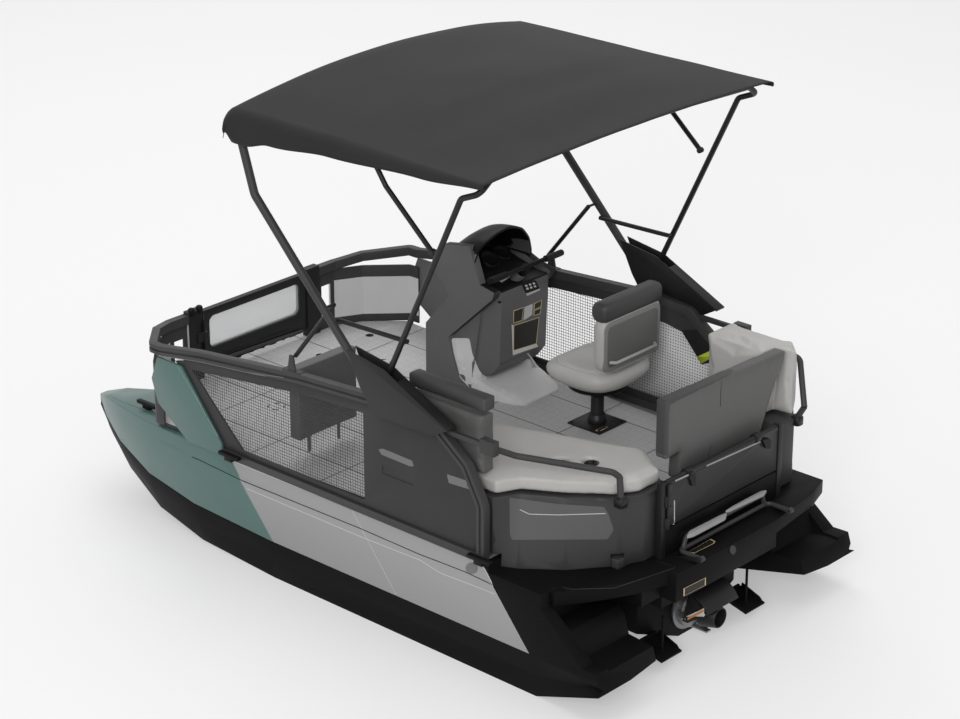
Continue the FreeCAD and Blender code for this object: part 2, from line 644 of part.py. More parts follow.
# Fairing corners: shares of the run from its foot to its fore edge, and of its rise
FAIRING_RUN_SHARES = (0, 0.02, 0.56, 0.9, 1, 0.92, 0.5)
FAIRING_RISE_SHARES = (0, 0.16, 0.97, 0.97, 0.66, 0.36, 0)


def fairings():
    """Coloured side plate between the bow hull and the rail."""
    foot = at.hull_depth + at.cover_gap
    rise = rail_z(at.rail_fore_x) - at.rail_height / 2 - foot
    run = at.rail_fore_x + at.rail_bend - at.sill_front_x
    start = at.sill_front_x + at.infill_gap
    y = rail_line() + at.infill_wall / 2 + at.infill_gap
    plate = prism([(start + run * a, y, foot + rise * b)
                   for a, b in zip(FAIRING_RUN_SHARES, FAIRING_RISE_SHARES)],
                  (0, at.fairing_wall, 0))
    pair("fairings", plate)


def bow_panels():
    """Corner panels under the bow rail, each with a small window beside the gate post."""
    foot = FLOOR.value
    top = at.rail_front_z - at.rail_height / 2
    middle = (foot + top) / 2
    half = (top - foot) / 2 - at.infill_gap
    thin = at.infill_wall / 2
    profile = [(-half, -thin), (half, -thin), (half, thin), (-half, thin)]
    path = [(x, y, middle) for x, y, z in bow_rail_points(0)]
    panel = swept_bar(path, profile, (0, 0, 1), at.rail_bend / 2)
    inner = at.gate_half_width + at.gate_gap + at.post_width + at.window_margin / 2
    hole = brick((at.rail_front_x - at.post_depth, inner, middle - at.front_window_height / 2),
                 (at.rail_front_x + at.post_depth, inner + at.front_window_length,
                  middle + at.front_window_height / 2))
    pair("bow_panels", panel.cut(hole))


def hinge_stack(x, y, z_low, count, gap):
    """Short barrels on one upright axis, spaced one barrel apart."""
    step = (at.hinge_length + gap) * 2
    return [Part.makeCylinder(at.hinge_radius, at.hinge_length, Vector(x, y, z_low + step * i))
            for i in range(count)]


def bow_gate():
    wall = at.gate_wall
    x = at.rail_front_x
    half = at.gate_half_width
    hinge_x = x - at.post_depth / 2 - at.hinge_radius - at.hinge_play
    hinge_y = half + at.gate_gap / 2
    low = at.gate_foot_z + at.hinge_inset
    posts = []
    for side in (1, -1):
        inner = side * (half + at.gate_gap)
        outer = side * (half + at.gate_gap + at.post_width)
        posts.append(brick((x - at.post_depth / 2, min(inner, outer), FLOOR.value),
                           (x + at.post_depth / 2, max(inner, outer), at.post_top)))
    step = at.hinge_length + at.hinge_play
    lugs = hinge_stack(hinge_x, hinge_y, low, 2, at.hinge_play)
    for i, lug in enumerate(list(lugs)):
        base = low + step * 2 * i
        lugs.append(brick((hinge_x, hinge_y, base),
                          (x - at.post_depth / 2, hinge_y + at.post_width / 2,
                           base + at.hinge_length)))
    port = fused([posts[0]] + lugs)
    feature("bow_posts", Part.makeCompound([port.removeSplitter(), posts[1]]))
    frame = brick((x - wall / 2, -half, at.gate_foot_z), (x + wall / 2, half, at.gate_top_z))
    hole = brick((x - wall, -half + at.gate_border, at.gate_foot_z + at.gate_sill),
                 (x + wall, half - at.gate_border, at.gate_top_z - at.gate_border))
    hole = hole.makeFillet(at.window_corner, [e for e in hole.Edges if runs_along(e, (1, 0, 0))])
    leaves = []
    for i in range(2):
        base = low + step * (2 * i + 1)
        leaves.append(Part.makeCylinder(at.hinge_radius, at.hinge_length,
                                        Vector(hinge_x, hinge_y, base)))
        leaves.append(brick((hinge_x, hinge_y - at.gate_gap - at.hinge_radius * 2, base),
                            (x - wall / 2, hinge_y - at.gate_gap / 2 - at.hinge_play,
                             base + at.hinge_length)))
        leaves.append(brick((hinge_x, hinge_y - at.gate_gap - at.hinge_radius * 2, base),
                            (hinge_x + at.hinge_radius / 2, hinge_y, base + at.hinge_length)))
    gate = fused([frame.cut(hole)] + leaves).removeSplitter()
    feature("bow_gate", gate)
    pane = brick((x - at.window_wall / 2, -half + at.gate_border + at.infill_gap,
                  at.gate_foot_z + at.gate_sill + at.infill_gap),
                 (x + at.window_wall / 2, half - at.gate_border - at.infill_gap,
                  at.gate_top_z - at.gate_border - at.infill_gap))
    corners = [e for e in pane.Edges if runs_along(e, (1, 0, 0))]
    feature("bow_gate_window", pane.makeFillet(at.window_corner, corners))


def runs_along(edge, way):
    run = edge.Vertexes[-1].Point - edge.Vertexes[0].Point
    return run.Length > 0 and abs(run.normalize().dot(Vector(*way))) > 0.99


CLAMP_SHARE = 1.5


def stern_gate():
    """Gate between two posts over a fixed threshold; it swings aft on its port post."""
    x = at.stern_gate_x
    port = at.stern_gate_port_y
    starboard = at.stern_gate_starboard_y
    post = at.stern_post
    top = at.stern_gate_top_z
    half = at.stern_gate_wall / 2
    gap = at.gate_gap
    hinge_x = x - post / 2 - at.hinge_radius - at.hinge_play
    hinge_y = port + gap / 2
    step = at.hinge_length + at.hinge_play
    low = (at.stern_gate_foot_z + top - step * 4 + at.hinge_play) / 2
    posts = []
    for inner in (port + gap, starboard - gap - post):
        posts.append(brick((x - post / 2, inner, at.platform_top + at.joint_gap),
                           (x + post / 2, inner + post, top + at.stern_bar_radius)))
    for i, lug in enumerate(hinge_stack(hinge_x, hinge_y, low, 2, at.hinge_play)):
        base = low + step * 2 * i
        ear = brick((hinge_x, hinge_y, base),
                    (x - post / 2, hinge_y + post / 2, base + at.hinge_length))
        posts[0] = fused([posts[0], lug, ear]).removeSplitter()
    sill = brick((x - half, starboard - gap, at.platform_top + at.joint_gap),
                 (x + half, port + gap, at.platform_top + at.threshold_height))
    feature("stern_posts", Part.makeCompound(posts))
    feature("threshold", sill)
    panel = brick((x - half, starboard, at.stern_gate_foot_z), (x + half, port, top))
    bar = rod((x, starboard, top), (x, port, top), at.stern_bar_radius)
    pieces = [panel, bar]
    for spot in (port - at.clamp_inset, starboard + at.clamp_inset):
        pieces.append(rod((x, spot - at.clamp_length / 2, top),
                          (x, spot + at.clamp_length / 2, top), at.stern_bar_radius * CLAMP_SHARE))
    inner = hinge_y - gap - at.hinge_radius * 2
    for i, leaf in enumerate(hinge_stack(hinge_x, hinge_y, low + step, 2, at.hinge_play)):
        base = low + step * (2 * i + 1)
        pieces.append(leaf)
        pieces.append(brick((hinge_x, inner, base),
                            (x - half, hinge_y - gap / 2 - at.hinge_play, base + at.hinge_length)))
        pieces.append(brick((hinge_x - at.hinge_radius / 2, inner, base),
                            (hinge_x, hinge_y, base + at.hinge_length)))
    feature("stern_gate", fused(pieces).removeSplitter())


LADDER_BEND_SHARE = 2.5
LADDER_KNUCKLE_SHARE = 1.2


def ladder():
    """Boarding ladder folded up on the platform, hinged on two ears at the aft edge."""
    x = at.ladder_x
    radius = at.ladder_radius
    base = at.platform_top + at.ladder_foot
    y = at.ladder_y
    wide = at.ladder_half_width
    short = wide - at.ladder_taper
    rung = base + at.ladder_rise
    axis = x - at.ladder_reach
    bend = radius * LADDER_BEND_SHARE
    knuckle = radius * LADDER_KNUCKLE_SHARE
    inner = wide - bend
    pieces = [tube([(axis, y - wide, base), (x, y - wide, base), (x, y + wide, base),
                    (axis, y + wide, base)], radius, bend),
              tube([(x, y - inner, base), (x, y - short, rung), (x, y + short, rung),
                    (x, y + inner, base)], radius, bend)]
    ears = []
    for side in (1, -1):
        pin_end = y + side * (wide + radius + at.joint_gap)
        pieces.append(rod((axis, y + side * (wide - radius), base),
                          (axis, y + side * (wide + radius), base), knuckle))
        low, high = sorted((pin_end, pin_end + side * at.ladder_ear))
        ears.append(prism([(axis - radius, low, base - radius), (axis - radius, low, base + radius),
                           (axis + radius, low, base + radius),
                           (axis + at.ladder_reach, low, at.platform_top + at.joint_gap),
                           (at.platform_step_x, low, at.platform_top + at.joint_gap)],
                          (0, at.ladder_ear, 0)))
        ears.append(rod((axis, pin_end, base), (axis, y + side * (wide - radius), base),
                        at.ladder_pin))
    holes = [rod((axis, y + side * (wide - radius * 2), base),
                 (axis, y + side * (wide + radius * 2), base), at.ladder_pin + at.joint_gap)
             for side in (1, -1)]
    feature("ladder", fused(pieces).cut(fused(holes)).removeSplitter())
    feature("ladder_ears", Part.makeCompound([ears[0].fuse(ears[1]), ears[2].fuse(ears[3])]))


# Housing corners: shares of its run from the aft end forward, and of its rise above the rail
HOUSING_RUN_SHARES = (0, 0.15, 0.74, 0.87, 1, 0.62)
HOUSING_RISE_SHARES = (-0.02, -0.28, -0.3, 0.24, 1, 0.84)


def housing_outline():
    foot = at.rail_peak_z + at.rail_height / 2 + at.joint_gap
    rise = at.housing_top - foot
    aft = at.arm_foot_x + at.housing_reach - at.housing_length
    return [(aft + at.housing_length * a, foot + rise * b)
            for a, b in zip(HOUSING_RUN_SHARES, HOUSING_RISE_SHARES)]


def top_housings():
    """Two-walled side housing that holds the foot of the folding arm and of the rear pole."""
    inner = at.plate_y - at.plate_gap / 2 - at.plate_wall
    outer = at.plate_y + at.plate_gap / 2
    width = at.plate_gap + at.plate_wall * 2
    spots = housing_outline()
    walls = [prism([(x, y, z) for x, z in spots], (0, at.plate_wall, 0)) for y in (inner, outer)]
    aft = Vector(spots[0][0], inner, spots[0][1])
    shoulder = Vector(spots[-1][0], inner, spots[-1][1])
    way = (shoulder - aft).normalize()
    end = aft + way * ((at.lip_end_x - aft.x) / way.x)
    down = Vector(way.z, 0, -way.x) * at.plate_lip
    lip = prism([tuple(aft), tuple(end), tuple(end + down), tuple(aft + down)], (0, width, 0))
    foot = brick((spots[1][0], inner, spots[1][1]), (spots[2][0], inner + width,
                                                     spots[1][1] + at.plate_wall))
    pin = rod((at.arm_foot_x, inner, at.arm_foot_z),
              (at.arm_foot_x, outer + at.plate_wall, at.arm_foot_z), at.pin_radius)
    side = at.pole_radius + at.joint_gap
    seats = [rod((at.pole_foot_x, a, at.pole_foot_z + at.pole_radius * 2),
                 (at.pole_foot_x, b, at.pole_foot_z + at.pole_radius * 2), at.pole_radius)
             for a, b in ((inner, at.plate_y - side), (at.plate_y + side, outer + at.plate_wall))]
    pair("top_housings", fused(walls + [lip, foot, pin] + seats).removeSplitter())


def canopy_under(x, y):
    """Height of the canopy's underside."""
    share = canopy_crown_share(x)
    return at.canopy_edge_z - at.canopy_wall + at.canopy_crown * share * (
        1 - (y / at.canopy_half_width) ** 2)


# Canopy: crown, edge lift and valance at shares of its length, front to aft
CANOPY_RUN_SHARES = (0, 0.085, 0.35, 0.7, 1)
CANOPY_CROWN_SHARES = (0.95, 1, 1, 0.7, 0.3)
CANOPY_VALANCE_SHARES = (0.4, 1, 0.7, 0.35, 0.1)
CANOPY_ARC_POINTS = 10


def canopy_crown_share(x):
    run = (at.canopy_front_x - x) / (at.canopy_front_x - at.canopy_aft_x)
    pairs = list(zip(CANOPY_RUN_SHARES, CANOPY_CROWN_SHARES))
    for (a, low), (b, high) in zip(pairs, pairs[1:]):
        if a <= run <= b:
            return low + (high - low) * (run - a) / (b - a)
    return pairs[-1][1]


def canopy():
    half = at.canopy_half_width
    sections = []
    for along, crown, drop in zip(CANOPY_RUN_SHARES, CANOPY_CROWN_SHARES, CANOPY_VALANCE_SHARES):
        x = at.canopy_front_x + (at.canopy_aft_x - at.canopy_front_x) * along
        top = []
        under = []
        for i in range(CANOPY_ARC_POINTS + 1):
            share = 1 - 2 * i / CANOPY_ARC_POINTS
            z = at.canopy_edge_z + at.canopy_crown * crown * (1 - share ** 2)
            top.append((x, half * share, z))
            under.append((x, (half - at.canopy_wall) * share, z - at.canopy_wall))
        foot = at.canopy_edge_z - max(at.valance * drop, at.canopy_wall * 1.5)
        inner = half - at.canopy_wall
        sections.append([(x, half, foot)] + top + [(x, -half, foot), (x, -inner, foot)]
                        + under[::-1] + [(x, inner, foot)])
    feature("canopy", ruled(sections))


BOW_POINT_SHARES = (0.93, 0.5, 0)


KNUCKLE_SHARE = 1.15


def bow_hoop(foot, bend, head_x, radius, y=None):
    """A hoop over the deck: up one side, across under the canopy and down the other."""
    y = y or at.plate_y
    side = [(x, y, z) for x, z in (foot, bend)]
    low = canopy_under(head_x, y) - radius - at.canopy_clear
    side.append((head_x, y, low - radius * 3))
    for share in BOW_POINT_SHARES:
        across = y * share
        side.append((head_x, across, canopy_under(head_x, across) - radius - at.canopy_clear))
    return side + [(x, -a, z) for x, a, z in side[-2::-1]]


def sun_top():
    arm = bow_hoop((at.arm_foot_x, at.arm_foot_z), (at.arm_bend_x, at.arm_bend_z),
                   at.arm_head_x, at.arm_radius)
    hoop = tube(arm, at.arm_radius, at.arm_radius * 3)
    holes = [rod((at.arm_foot_x, side * at.plate_y - at.plate_gap, at.arm_foot_z),
                 (at.arm_foot_x, side * at.plate_y + at.plate_gap, at.arm_foot_z),
                 at.pin_radius + at.soft_gap) for side in (1, -1)]
    bosses = [rod((at.arm_foot_x, side * at.plate_y - at.arm_radius, at.arm_foot_z),
                  (at.arm_foot_x, side * at.plate_y + at.arm_radius, at.arm_foot_z),
                  at.arm_radius) for side in (1, -1)]
    hoop = fused([hoop] + bosses).cut(fused(holes))
    feature("top_arm", hoop)
    pole = bow_hoop((at.pole_foot_x, at.pole_foot_z), (at.pole_bend_x, at.pole_bend_z),
                    at.pole_head_x, at.pole_radius)
    feature("top_pole", tube(pole, at.pole_radius, at.pole_radius * 3))
    mid = bow_hoop((at.mid_foot_x, at.mid_foot_z), (at.mid_bend_x, at.mid_bend_z),
                   at.mid_head_x, at.mid_radius,
                   at.plate_y - at.pole_radius - at.mid_radius - at.joint_gap)
    mid_y = at.plate_y - at.pole_radius - at.mid_radius - at.joint_gap
    pins = [rod((at.mid_foot_x, side * (mid_y - at.mid_radius), at.mid_foot_z),
                (at.mid_foot_x, side * (mid_y + at.mid_radius), at.mid_foot_z),
                at.mid_radius * KNUCKLE_SHARE) for side in (1, -1)]
    feature("top_mid", fused([tube(mid, at.mid_radius, at.mid_radius * 3)] + pins))
    inner = at.plate_y - at.arm_radius - at.soft_gap
    pole_inner = at.plate_y - at.pole_radius - at.soft_gap
    link = fused([rod((at.link_arm_x, at.link_y, at.link_arm_z),
                      (at.link_pole_x, at.link_y, at.link_pole_z), at.link_radius),
                  rod((at.link_arm_x, at.link_y, at.link_arm_z),
                      (at.link_arm_x, inner, at.link_arm_z), at.pin_radius),
                  rod((at.link_pole_x, at.link_y, at.link_pole_z),
                      (at.link_pole_x, pole_inner, at.link_pole_z), at.pin_radius)])
    feature("top_links", twinned(link.removeSplitter()))
    brace = fused([rod((at.brace_foot_x, at.brace_y, at.brace_foot_z),
                       (at.brace_arm_x, at.brace_y, at.brace_arm_z), at.link_radius),
                   rod((at.brace_arm_x, at.brace_y, at.brace_arm_z),
                       (at.brace_arm_x, inner, at.brace_arm_z), at.pin_radius),
                   rod((at.brace_foot_x, at.brace_y, at.brace_foot_z),
                       (at.brace_foot_x, at.brace_y + at.link_radius * 2, at.brace_foot_z),
                       at.pin_radius)])
    feature("top_braces", twinned(brace.removeSplitter()))


def brace_bracket():
    """Bracket on the rail that carries the foot of the front brace."""
    top = rail_z(at.brace_foot_x) + at.rail_height / 2
    inner = at.brace_y + at.link_radius * 2 + at.joint_gap
    half = at.bracket_length / 2
    base = brick((at.brace_foot_x - half, rail_line() - at.rail_width / 2, top - at.bracket_wall),
                 (at.brace_foot_x + half, rail_line() + at.rail_width / 2, top + at.bracket_wall))
    ear = prism([(at.brace_foot_x - half / 2, inner, top), (at.brace_foot_x + half / 2, inner, top),
                 (at.brace_foot_x + at.link_radius, inner, at.brace_foot_z + at.link_radius),
                 (at.brace_foot_x - at.link_radius, inner, at.brace_foot_z + at.link_radius)],
                (0, at.bracket_wall, 0))
    return base.fuse(ear)


def sheer_z(x):
    """Height of the side hull's top edge at x."""
    spots = [(s[0], s[5]) for s in hull_stations()]
    for (x0, z0), (x1, z1) in zip(spots, spots[1:]):
        if x0 <= x <= x1:
            return z0 + (z1 - z0) * (x - x0) / (x1 - x0)
    return spots[0][1]


def cleats():
    """Horn cleats: one on each bow and two along each side."""
    side_y = rail_line() + at.rail_width / 2 + at.joint_gap
    spots = [(at.cleat_bow_x, at.cleat_bow_y), (at.cleat_mid_x, side_y), (at.cleat_aft_x, side_y)]
    pieces = []
    for x, y in spots:
        z = sheer_z(x - at.cleat_foot / 2) + at.joint_gap
        foot = brick((x - at.cleat_foot / 2, y, z),
                     (x + at.cleat_foot / 2, y + at.cleat_width, z + at.cleat_height))
        horn = brick((x - at.cleat_length / 2, y, z + at.cleat_height / 2),
                     (x + at.cleat_length / 2, y + at.cleat_width, z + at.cleat_height))
        pieces.append(foot.fuse(horn).removeSplitter())
    pair("cleats", Part.makeCompound(pieces))


def handrails():
    """Grab rails from a block behind each side rail down to the corner of the stern seat."""
    start = (at.hand_start_x + at.block_length / 2, rail_line(), at.hand_start_z)
    port = [start, (at.hand_first_x, at.hand_first_y, at.hand_first_z),
            (at.hand_second_x, at.hand_second_y, at.hand_second_z),
            (at.hand_third_x, at.hand_third_y, at.hand_third_z),
            (at.hand_foot_x, at.hand_foot_y, at.hand_foot_z)]
    starboard = [start, (at.hand_knee_x, at.hand_knee_y, at.hand_start_z - at.hand_bend),
                 (at.hand_end_x, at.hand_end_y, at.hand_end_z)]
    block = brick((at.hand_start_x, rail_line() - at.block_wall / 2,
                   at.hand_start_z - at.block_height / 2),
                  (at.hand_start_x + at.block_length, rail_line() + at.block_wall / 2,
                   at.hand_start_z + at.block_height / 2))
    bar = brick((at.hand_start_x + at.block_length / 2, rail_line() - at.block_wall / 4,
                 at.hand_start_z - at.arm_bar_height / 2),
                (at.arm_bar_front_x, rail_line() + at.block_wall / 4,
                 at.hand_start_z + at.arm_bar_height / 2))
    sides = []
    for points in (port, starboard):
        grip = tube(points, at.hand_radius, at.hand_bend)
        shape = fused([grip, block, bar]).cut(side_rail())
        sides.append(max(shape.Solids, key=volume_of).removeSplitter())
    feature("handrails", Part.makeCompound([sides[0], sides[1].mirror(Vector(0, 0, 0),
                                                                      Vector(0, 1, 0))]))


# Console side profile: shares of its length from aft, and of its height above the deck
WALL_RUN_SHARES = (0.164, 1, 1, 0.65, 0.858, 0.723, 0.355, 0.205, 0, 0.027, 0.667, 0.556, 0.2)
WALL_RISE_SHARES = (0, 0, 0.399, 0.63, 0.764, 0.961, 1, 0.77, 0.748, 0.7, 0.354, 0.146, 0.012)
POD_RUN_SHARES = (0.4, 0.99, 0.99, 0.64, 0.84, 0.72, 0.22, 0.01, 0, 0.03, 0.15, 0.4)
POD_RISE_SHARES = (0, 0, 0.397, 0.63, 0.764, 0.93, 0.74, 0.735, 0.69, 0.25, 0.16, 0.13)
COWL_RUN_SHARES = (1, 0.805, 0.684, 0.325, 0, 0)
COWL_RISE_SHARES = (0.015, 0.67, 0.79, 0.956, 1, 0.853)
FOOTWELL_RUN_SHARES = (0, 0.12, 0.51, 0.636)
FOOTWELL_HALF_SHARES = (0.55, 0.68, 0.78, 0.8)
BOSS_SHARE = 1.3
STEM_RAKE = 40


def console():
    """Two shaped side walls, the storage pod set in between them and the steering boss."""
    run = by.console_fore_x - by.console_aft_x
    rise = by.console_top - FLOOR
    walls, body = [[(by.console_aft_x + run * a, FLOOR + rise * b) for a, b in zip(*shares)]
                   for shares in ((WALL_RUN_SHARES, WALL_RISE_SHARES),
                                  (POD_RUN_SHARES, POD_RISE_SHARES))]
    port = -by.console_y - by.console_half_width
    starboard = -by.console_y + by.console_half_width - by.console_wall
    sides = [padded("console_wall", "XZ_Plane", walls, by.console_wall, start)
             for start in (port, starboard)]
    pod = padded("console_pod", "XZ_Plane", body, (by.console_half_width - by.pod_inset) * 2,
                 port + by.pod_inset, by.pod_round, (0, 1, 0))
    filler = padded("console_core", "XZ_Plane", body[:7] + body[11:],
                    (by.console_half_width - by.console_wall) * 2, port + by.console_wall)
    foot, way = steering_line()
    boss = feature("steering_boss",
                   Part.makeCylinder(at.stem_radius * BOSS_SHARE, at.boss_length,
                                     foot - way * at.boss_length, way), hidden=True)
    node(union("console", sides + [pod, filler, boss]), "console")
    run = by.cowl_fore_x - by.cowl_aft_x
    rise = by.cowl_top - by.cowl_foot_z
    gap = by.soft_gap
    outline = [(walls[6][0], walls[6][1] + gap), (walls[5][0] + gap, walls[5][1] + gap),
               (walls[4][0] + gap, walls[4][1])]
    outline += [(by.cowl_aft_x + run * a, by.cowl_foot_z + rise * b)
                for a, b in zip(COWL_RUN_SHARES, COWL_RISE_SHARES)]
    node(padded("dash", "XZ_Plane", outline, by.console_half_width * 2, port), "dash")


def steering_line():
    """Where the steering stem leaves its boss, and which way it points."""
    rake = math.radians(STEM_RAKE)
    return (Vector(at.stem_foot_x, at.console_y, at.stem_foot_z),
            Vector(-math.sin(rake), 0, math.cos(rake)))


def footrest():
    """Sloping footwell in front of the pod, wider where it is clear of the side walls."""
    run = at.footwell_fore_x - at.footwell_aft_x
    low = FLOOR.value
    half = at.console_half_width
    inner = half - at.console_wall - at.joint_gap
    spots = [(at.footwell_aft_x + run * a, half * b)
             for a, b in zip(FOOTWELL_RUN_SHARES, FOOTWELL_HALF_SHARES)]
    spots += [(spots[-1][0], inner), (at.footwell_fore_x, inner)]
    plan = [(x, at.console_y + y, low) for x, y in spots]
    plan += [(x, at.console_y - y, low) for x, y in spots[::-1]]
    side = [(at.footwell_aft_x, at.console_y - half, low),
            (at.footwell_fore_x, at.console_y - half, low),
            (at.footwell_fore_x, at.console_y - half, low + at.footwell_height),
            (at.footwell_aft_x, at.console_y - half, low + at.footwell_toe)]
    shape = prism(plan, (0, 0, at.footwell_height)).common(prism(side, (0, half * 2, 0)))
    return feature("footrest", shape, hidden=True)


def handlebar():
    """Steering bar on its raked stem."""
    foot, way = steering_line()
    foot = foot + way * at.stem_gap
    centre = foot + way * at.stem_length
    stem = Part.makeCylinder(at.stem_radius, at.stem_length, foot, way)
    half = at.bar_half_length
    side = Vector(0, 1, 0)
    bar = Part.makeCylinder(at.bar_radius, half * 2, centre - side * half, side)
    grips = [Part.makeCylinder(at.grip_radius, at.grip_length, centre + side * start, side)
             for start in (-half, half - at.grip_length)]
    feature("handlebar", fused([stem, bar] + grips).removeSplitter())


def helm_seat():
    half = by.seat_plate / 2
    plate = box("seat_plate", by.seat_plate, by.seat_plate, by.seat_plate_wall,
                (by.seat_x - half, by.seat_y - half, FLOOR))
    post = cylinder("seat_post", by.post_radius, by.post_height, (by.seat_x, by.seat_y, FLOOR))
    node(union("seat_pedestal", [plate, post]), "seat_pedestal")
    base = FLOOR + by.post_height + by.seat_gap
    pan = cylinder("seat_pan", by.seat_length * 0.36, by.seat_pan, (by.seat_x, by.seat_y, base))
    node(pan, "seat_pan")
    low = base + by.seat_pan
    left = by.seat_x - by.seat_length / 2
    right = by.seat_x + by.seat_length / 2
    near = by.seat_y - by.seat_width / 2
    far = by.seat_y + by.seat_width / 2
    cushion = padded("seat_cushion", "XY_Plane",
                     [(left, near), (right, near), (right, far), (left, far)],
                     by.seat_cushion, low, by.seat_round, (0, 0, 1))
    node(cushion, "seat_cushion")
    top = low + by.seat_cushion + by.soft_gap
    back = padded("seat_back", "YZ_Plane",
                  [(near, top), (far, top), (far, top + by.seat_back_height),
                   (near, top + by.seat_back_height)],
                  by.seat_back_wall, left, by.seat_back_round, (1, 0, 0))
    node(back, "seat_back")





def lounge_base(name, foot, head):
    """Moulded seat base that leans in towards its seat; its skirt drops outboard of the deck."""
    low = at.lounge_skirt_z
    top = FLOOR.value + at.lounge_base_height
    gap = at.joint_gap
    body = ruled([[(x, y, low) for x, y in foot], [(x, y, top) for x, y in head]])
    side = at.deck_stern_half_width + gap
    wide = at.hull_length
    well = brick((at.deck_stern_x - gap, -side, 0), (0, side, FLOOR.value))
    fore = brick((at.deck_wing_x - gap, -wide, 0), (0, wide, FLOOR.value))
    return feature(name, body.cut(well).cut(fore))


def lounges():
    """Port corner seat, starboard bench and the side backrests along the rails."""
    aft = by.lounge_aft_x
    outer = by.lounge_outer_y
    near = [(by.port_corner_x, by.port_corner_y), (by.port_front_x, by.port_front_y),
            (by.port_front_x, outer), (by.lounge_side_x, outer)]
    port_foot = [(aft, by.port_aft_y)] + near + [
        (by.lounge_hip_x, by.lounge_hip_y), (by.lounge_knee_x, by.lounge_knee_y),
        (by.lounge_heel_x, by.lounge_heel_y), (aft, by.lounge_toe_y)]
    port = [(aft, by.port_aft_y)] + near + [
        (by.seat_hip_x, by.seat_hip_y), (by.seat_knee_x, by.seat_knee_y),
        (by.seat_heel_x, by.seat_heel_y), (aft, by.seat_toe_y)]
    starboard = [(aft, by.starboard_inner_y), (aft, -by.starboard_heel_y),
                 (by.starboard_knee_x, -outer), (by.starboard_front_x, -outer),
                 (by.starboard_front_x, by.starboard_inner_y)]
    base_top = FLOOR + by.lounge_base_height + by.soft_gap
    cushion_top = base_top + by.lounge_cushion
    seats = []
    for name, foot, head, thick in (("port", port_foot, port, by.lounge_cushion),
                                    ("starboard", starboard, starboard, by.starboard_cushion)):
        lounge_base("lounge_base_" + name, [(x.value, y.value) for x, y in foot],
                    [(x.value, y.value) for x, y in head])
        seats.append(padded("lounge_pad_" + name, "XY_Plane", head, thick, base_top))
    cups = union("cup_holes",
                 [cylinder("cup_hole", by.cup_radius, by.cup_depth + by.lounge_cushion,
                           (x, y, cushion_top - by.cup_depth))
                  for x, y in ((by.cup_fore_x, by.cup_fore_y), (by.cup_aft_x, by.cup_aft_y))])
    node(cut("cupped_seat", seats[0], cups), "lounge_cushion_port")
    room = box("corner_room", by.hull_length, by.starboard_room_y, by.hull_length,
               (by.stern_back_x + by.stern_back_wall + by.soft_gap - by.hull_length,
                -by.starboard_room_y, by.hull_depth))
    node(cut("corner_seat", seats[1], room), "lounge_cushion_starboard")
    foot = cushion_top + by.soft_gap
    length = by.side_back_fore_x - by.side_back_aft_x
    back = box("side_back", length, by.side_back_wall, by.side_back_height,
               (by.side_back_aft_x, outer - by.side_back_wall, foot))
    node(back, "side_back_port")
    bolster = box("side_bolster", length, by.side_back_wall, by.side_bolster,
                  (by.side_back_aft_x, outer - by.side_back_wall,
                   foot + by.side_back_height + by.soft_gap))
    node(bolster, "side_bolster")


def loose_back(name, x, outline, wall, legs_y, leg):
    """A movable backrest that stands on the deck on two legs; its face is drawn from aft."""
    pad = padded(name + "_pad", "YZ_Plane", outline, wall, x)
    legs = [cylinder(name + "_leg", by.back_leg_radius, leg, (x + wall / 2, y, FLOOR))
            for y in legs_y]
    return node(union(name, [pad] + legs), name)


def loose_backs():
    port, starboard = by.stern_back_port_y, by.stern_back_starboard_y
    low, top = FLOOR + by.stern_back_leg, by.stern_back_top
    slant = by.stern_back_slant
    loose_back("stern_backrest", by.stern_back_x,
               [(by.stern_notch_y, low), (by.stern_notch_y, by.stern_notch_z),
                (port, by.stern_notch_z), (port, top), (starboard, top - by.stern_back_drop),
                (starboard + slant, low)], by.stern_back_wall,
               (by.stern_notch_y - slant / 2, starboard + slant * 2), by.stern_back_leg)
    port, starboard = by.fore_back_port_y, by.fore_back_starboard_y
    low, top = FLOOR + by.back_leg, FLOOR + by.back_leg + by.fore_back_height
    inset = (port - starboard) / 4
    loose_back("fore_backrest", by.fore_back_x,
               [(starboard, low), (port, low), (port, top), (starboard, top)],
               by.stern_back_wall, (port - inset, starboard + inset), by.back_leg)


AFT = Vector(-1, 0, 0)


def cone_shell(start, wide, narrow, length, wall):
    """A thin-walled taper that narrows aft, or a tube where both radii are the same."""
    if wide == narrow:
        outer = Part.makeCylinder(wide, length, start, AFT)
        return outer.cut(Part.makeCylinder(wide - wall, length, start, AFT))
    outer = Part.makeCone(wide, narrow, length, start, AFT)
    return outer.cut(Part.makeCone(wide - wall, narrow - wall, length, start, AFT))


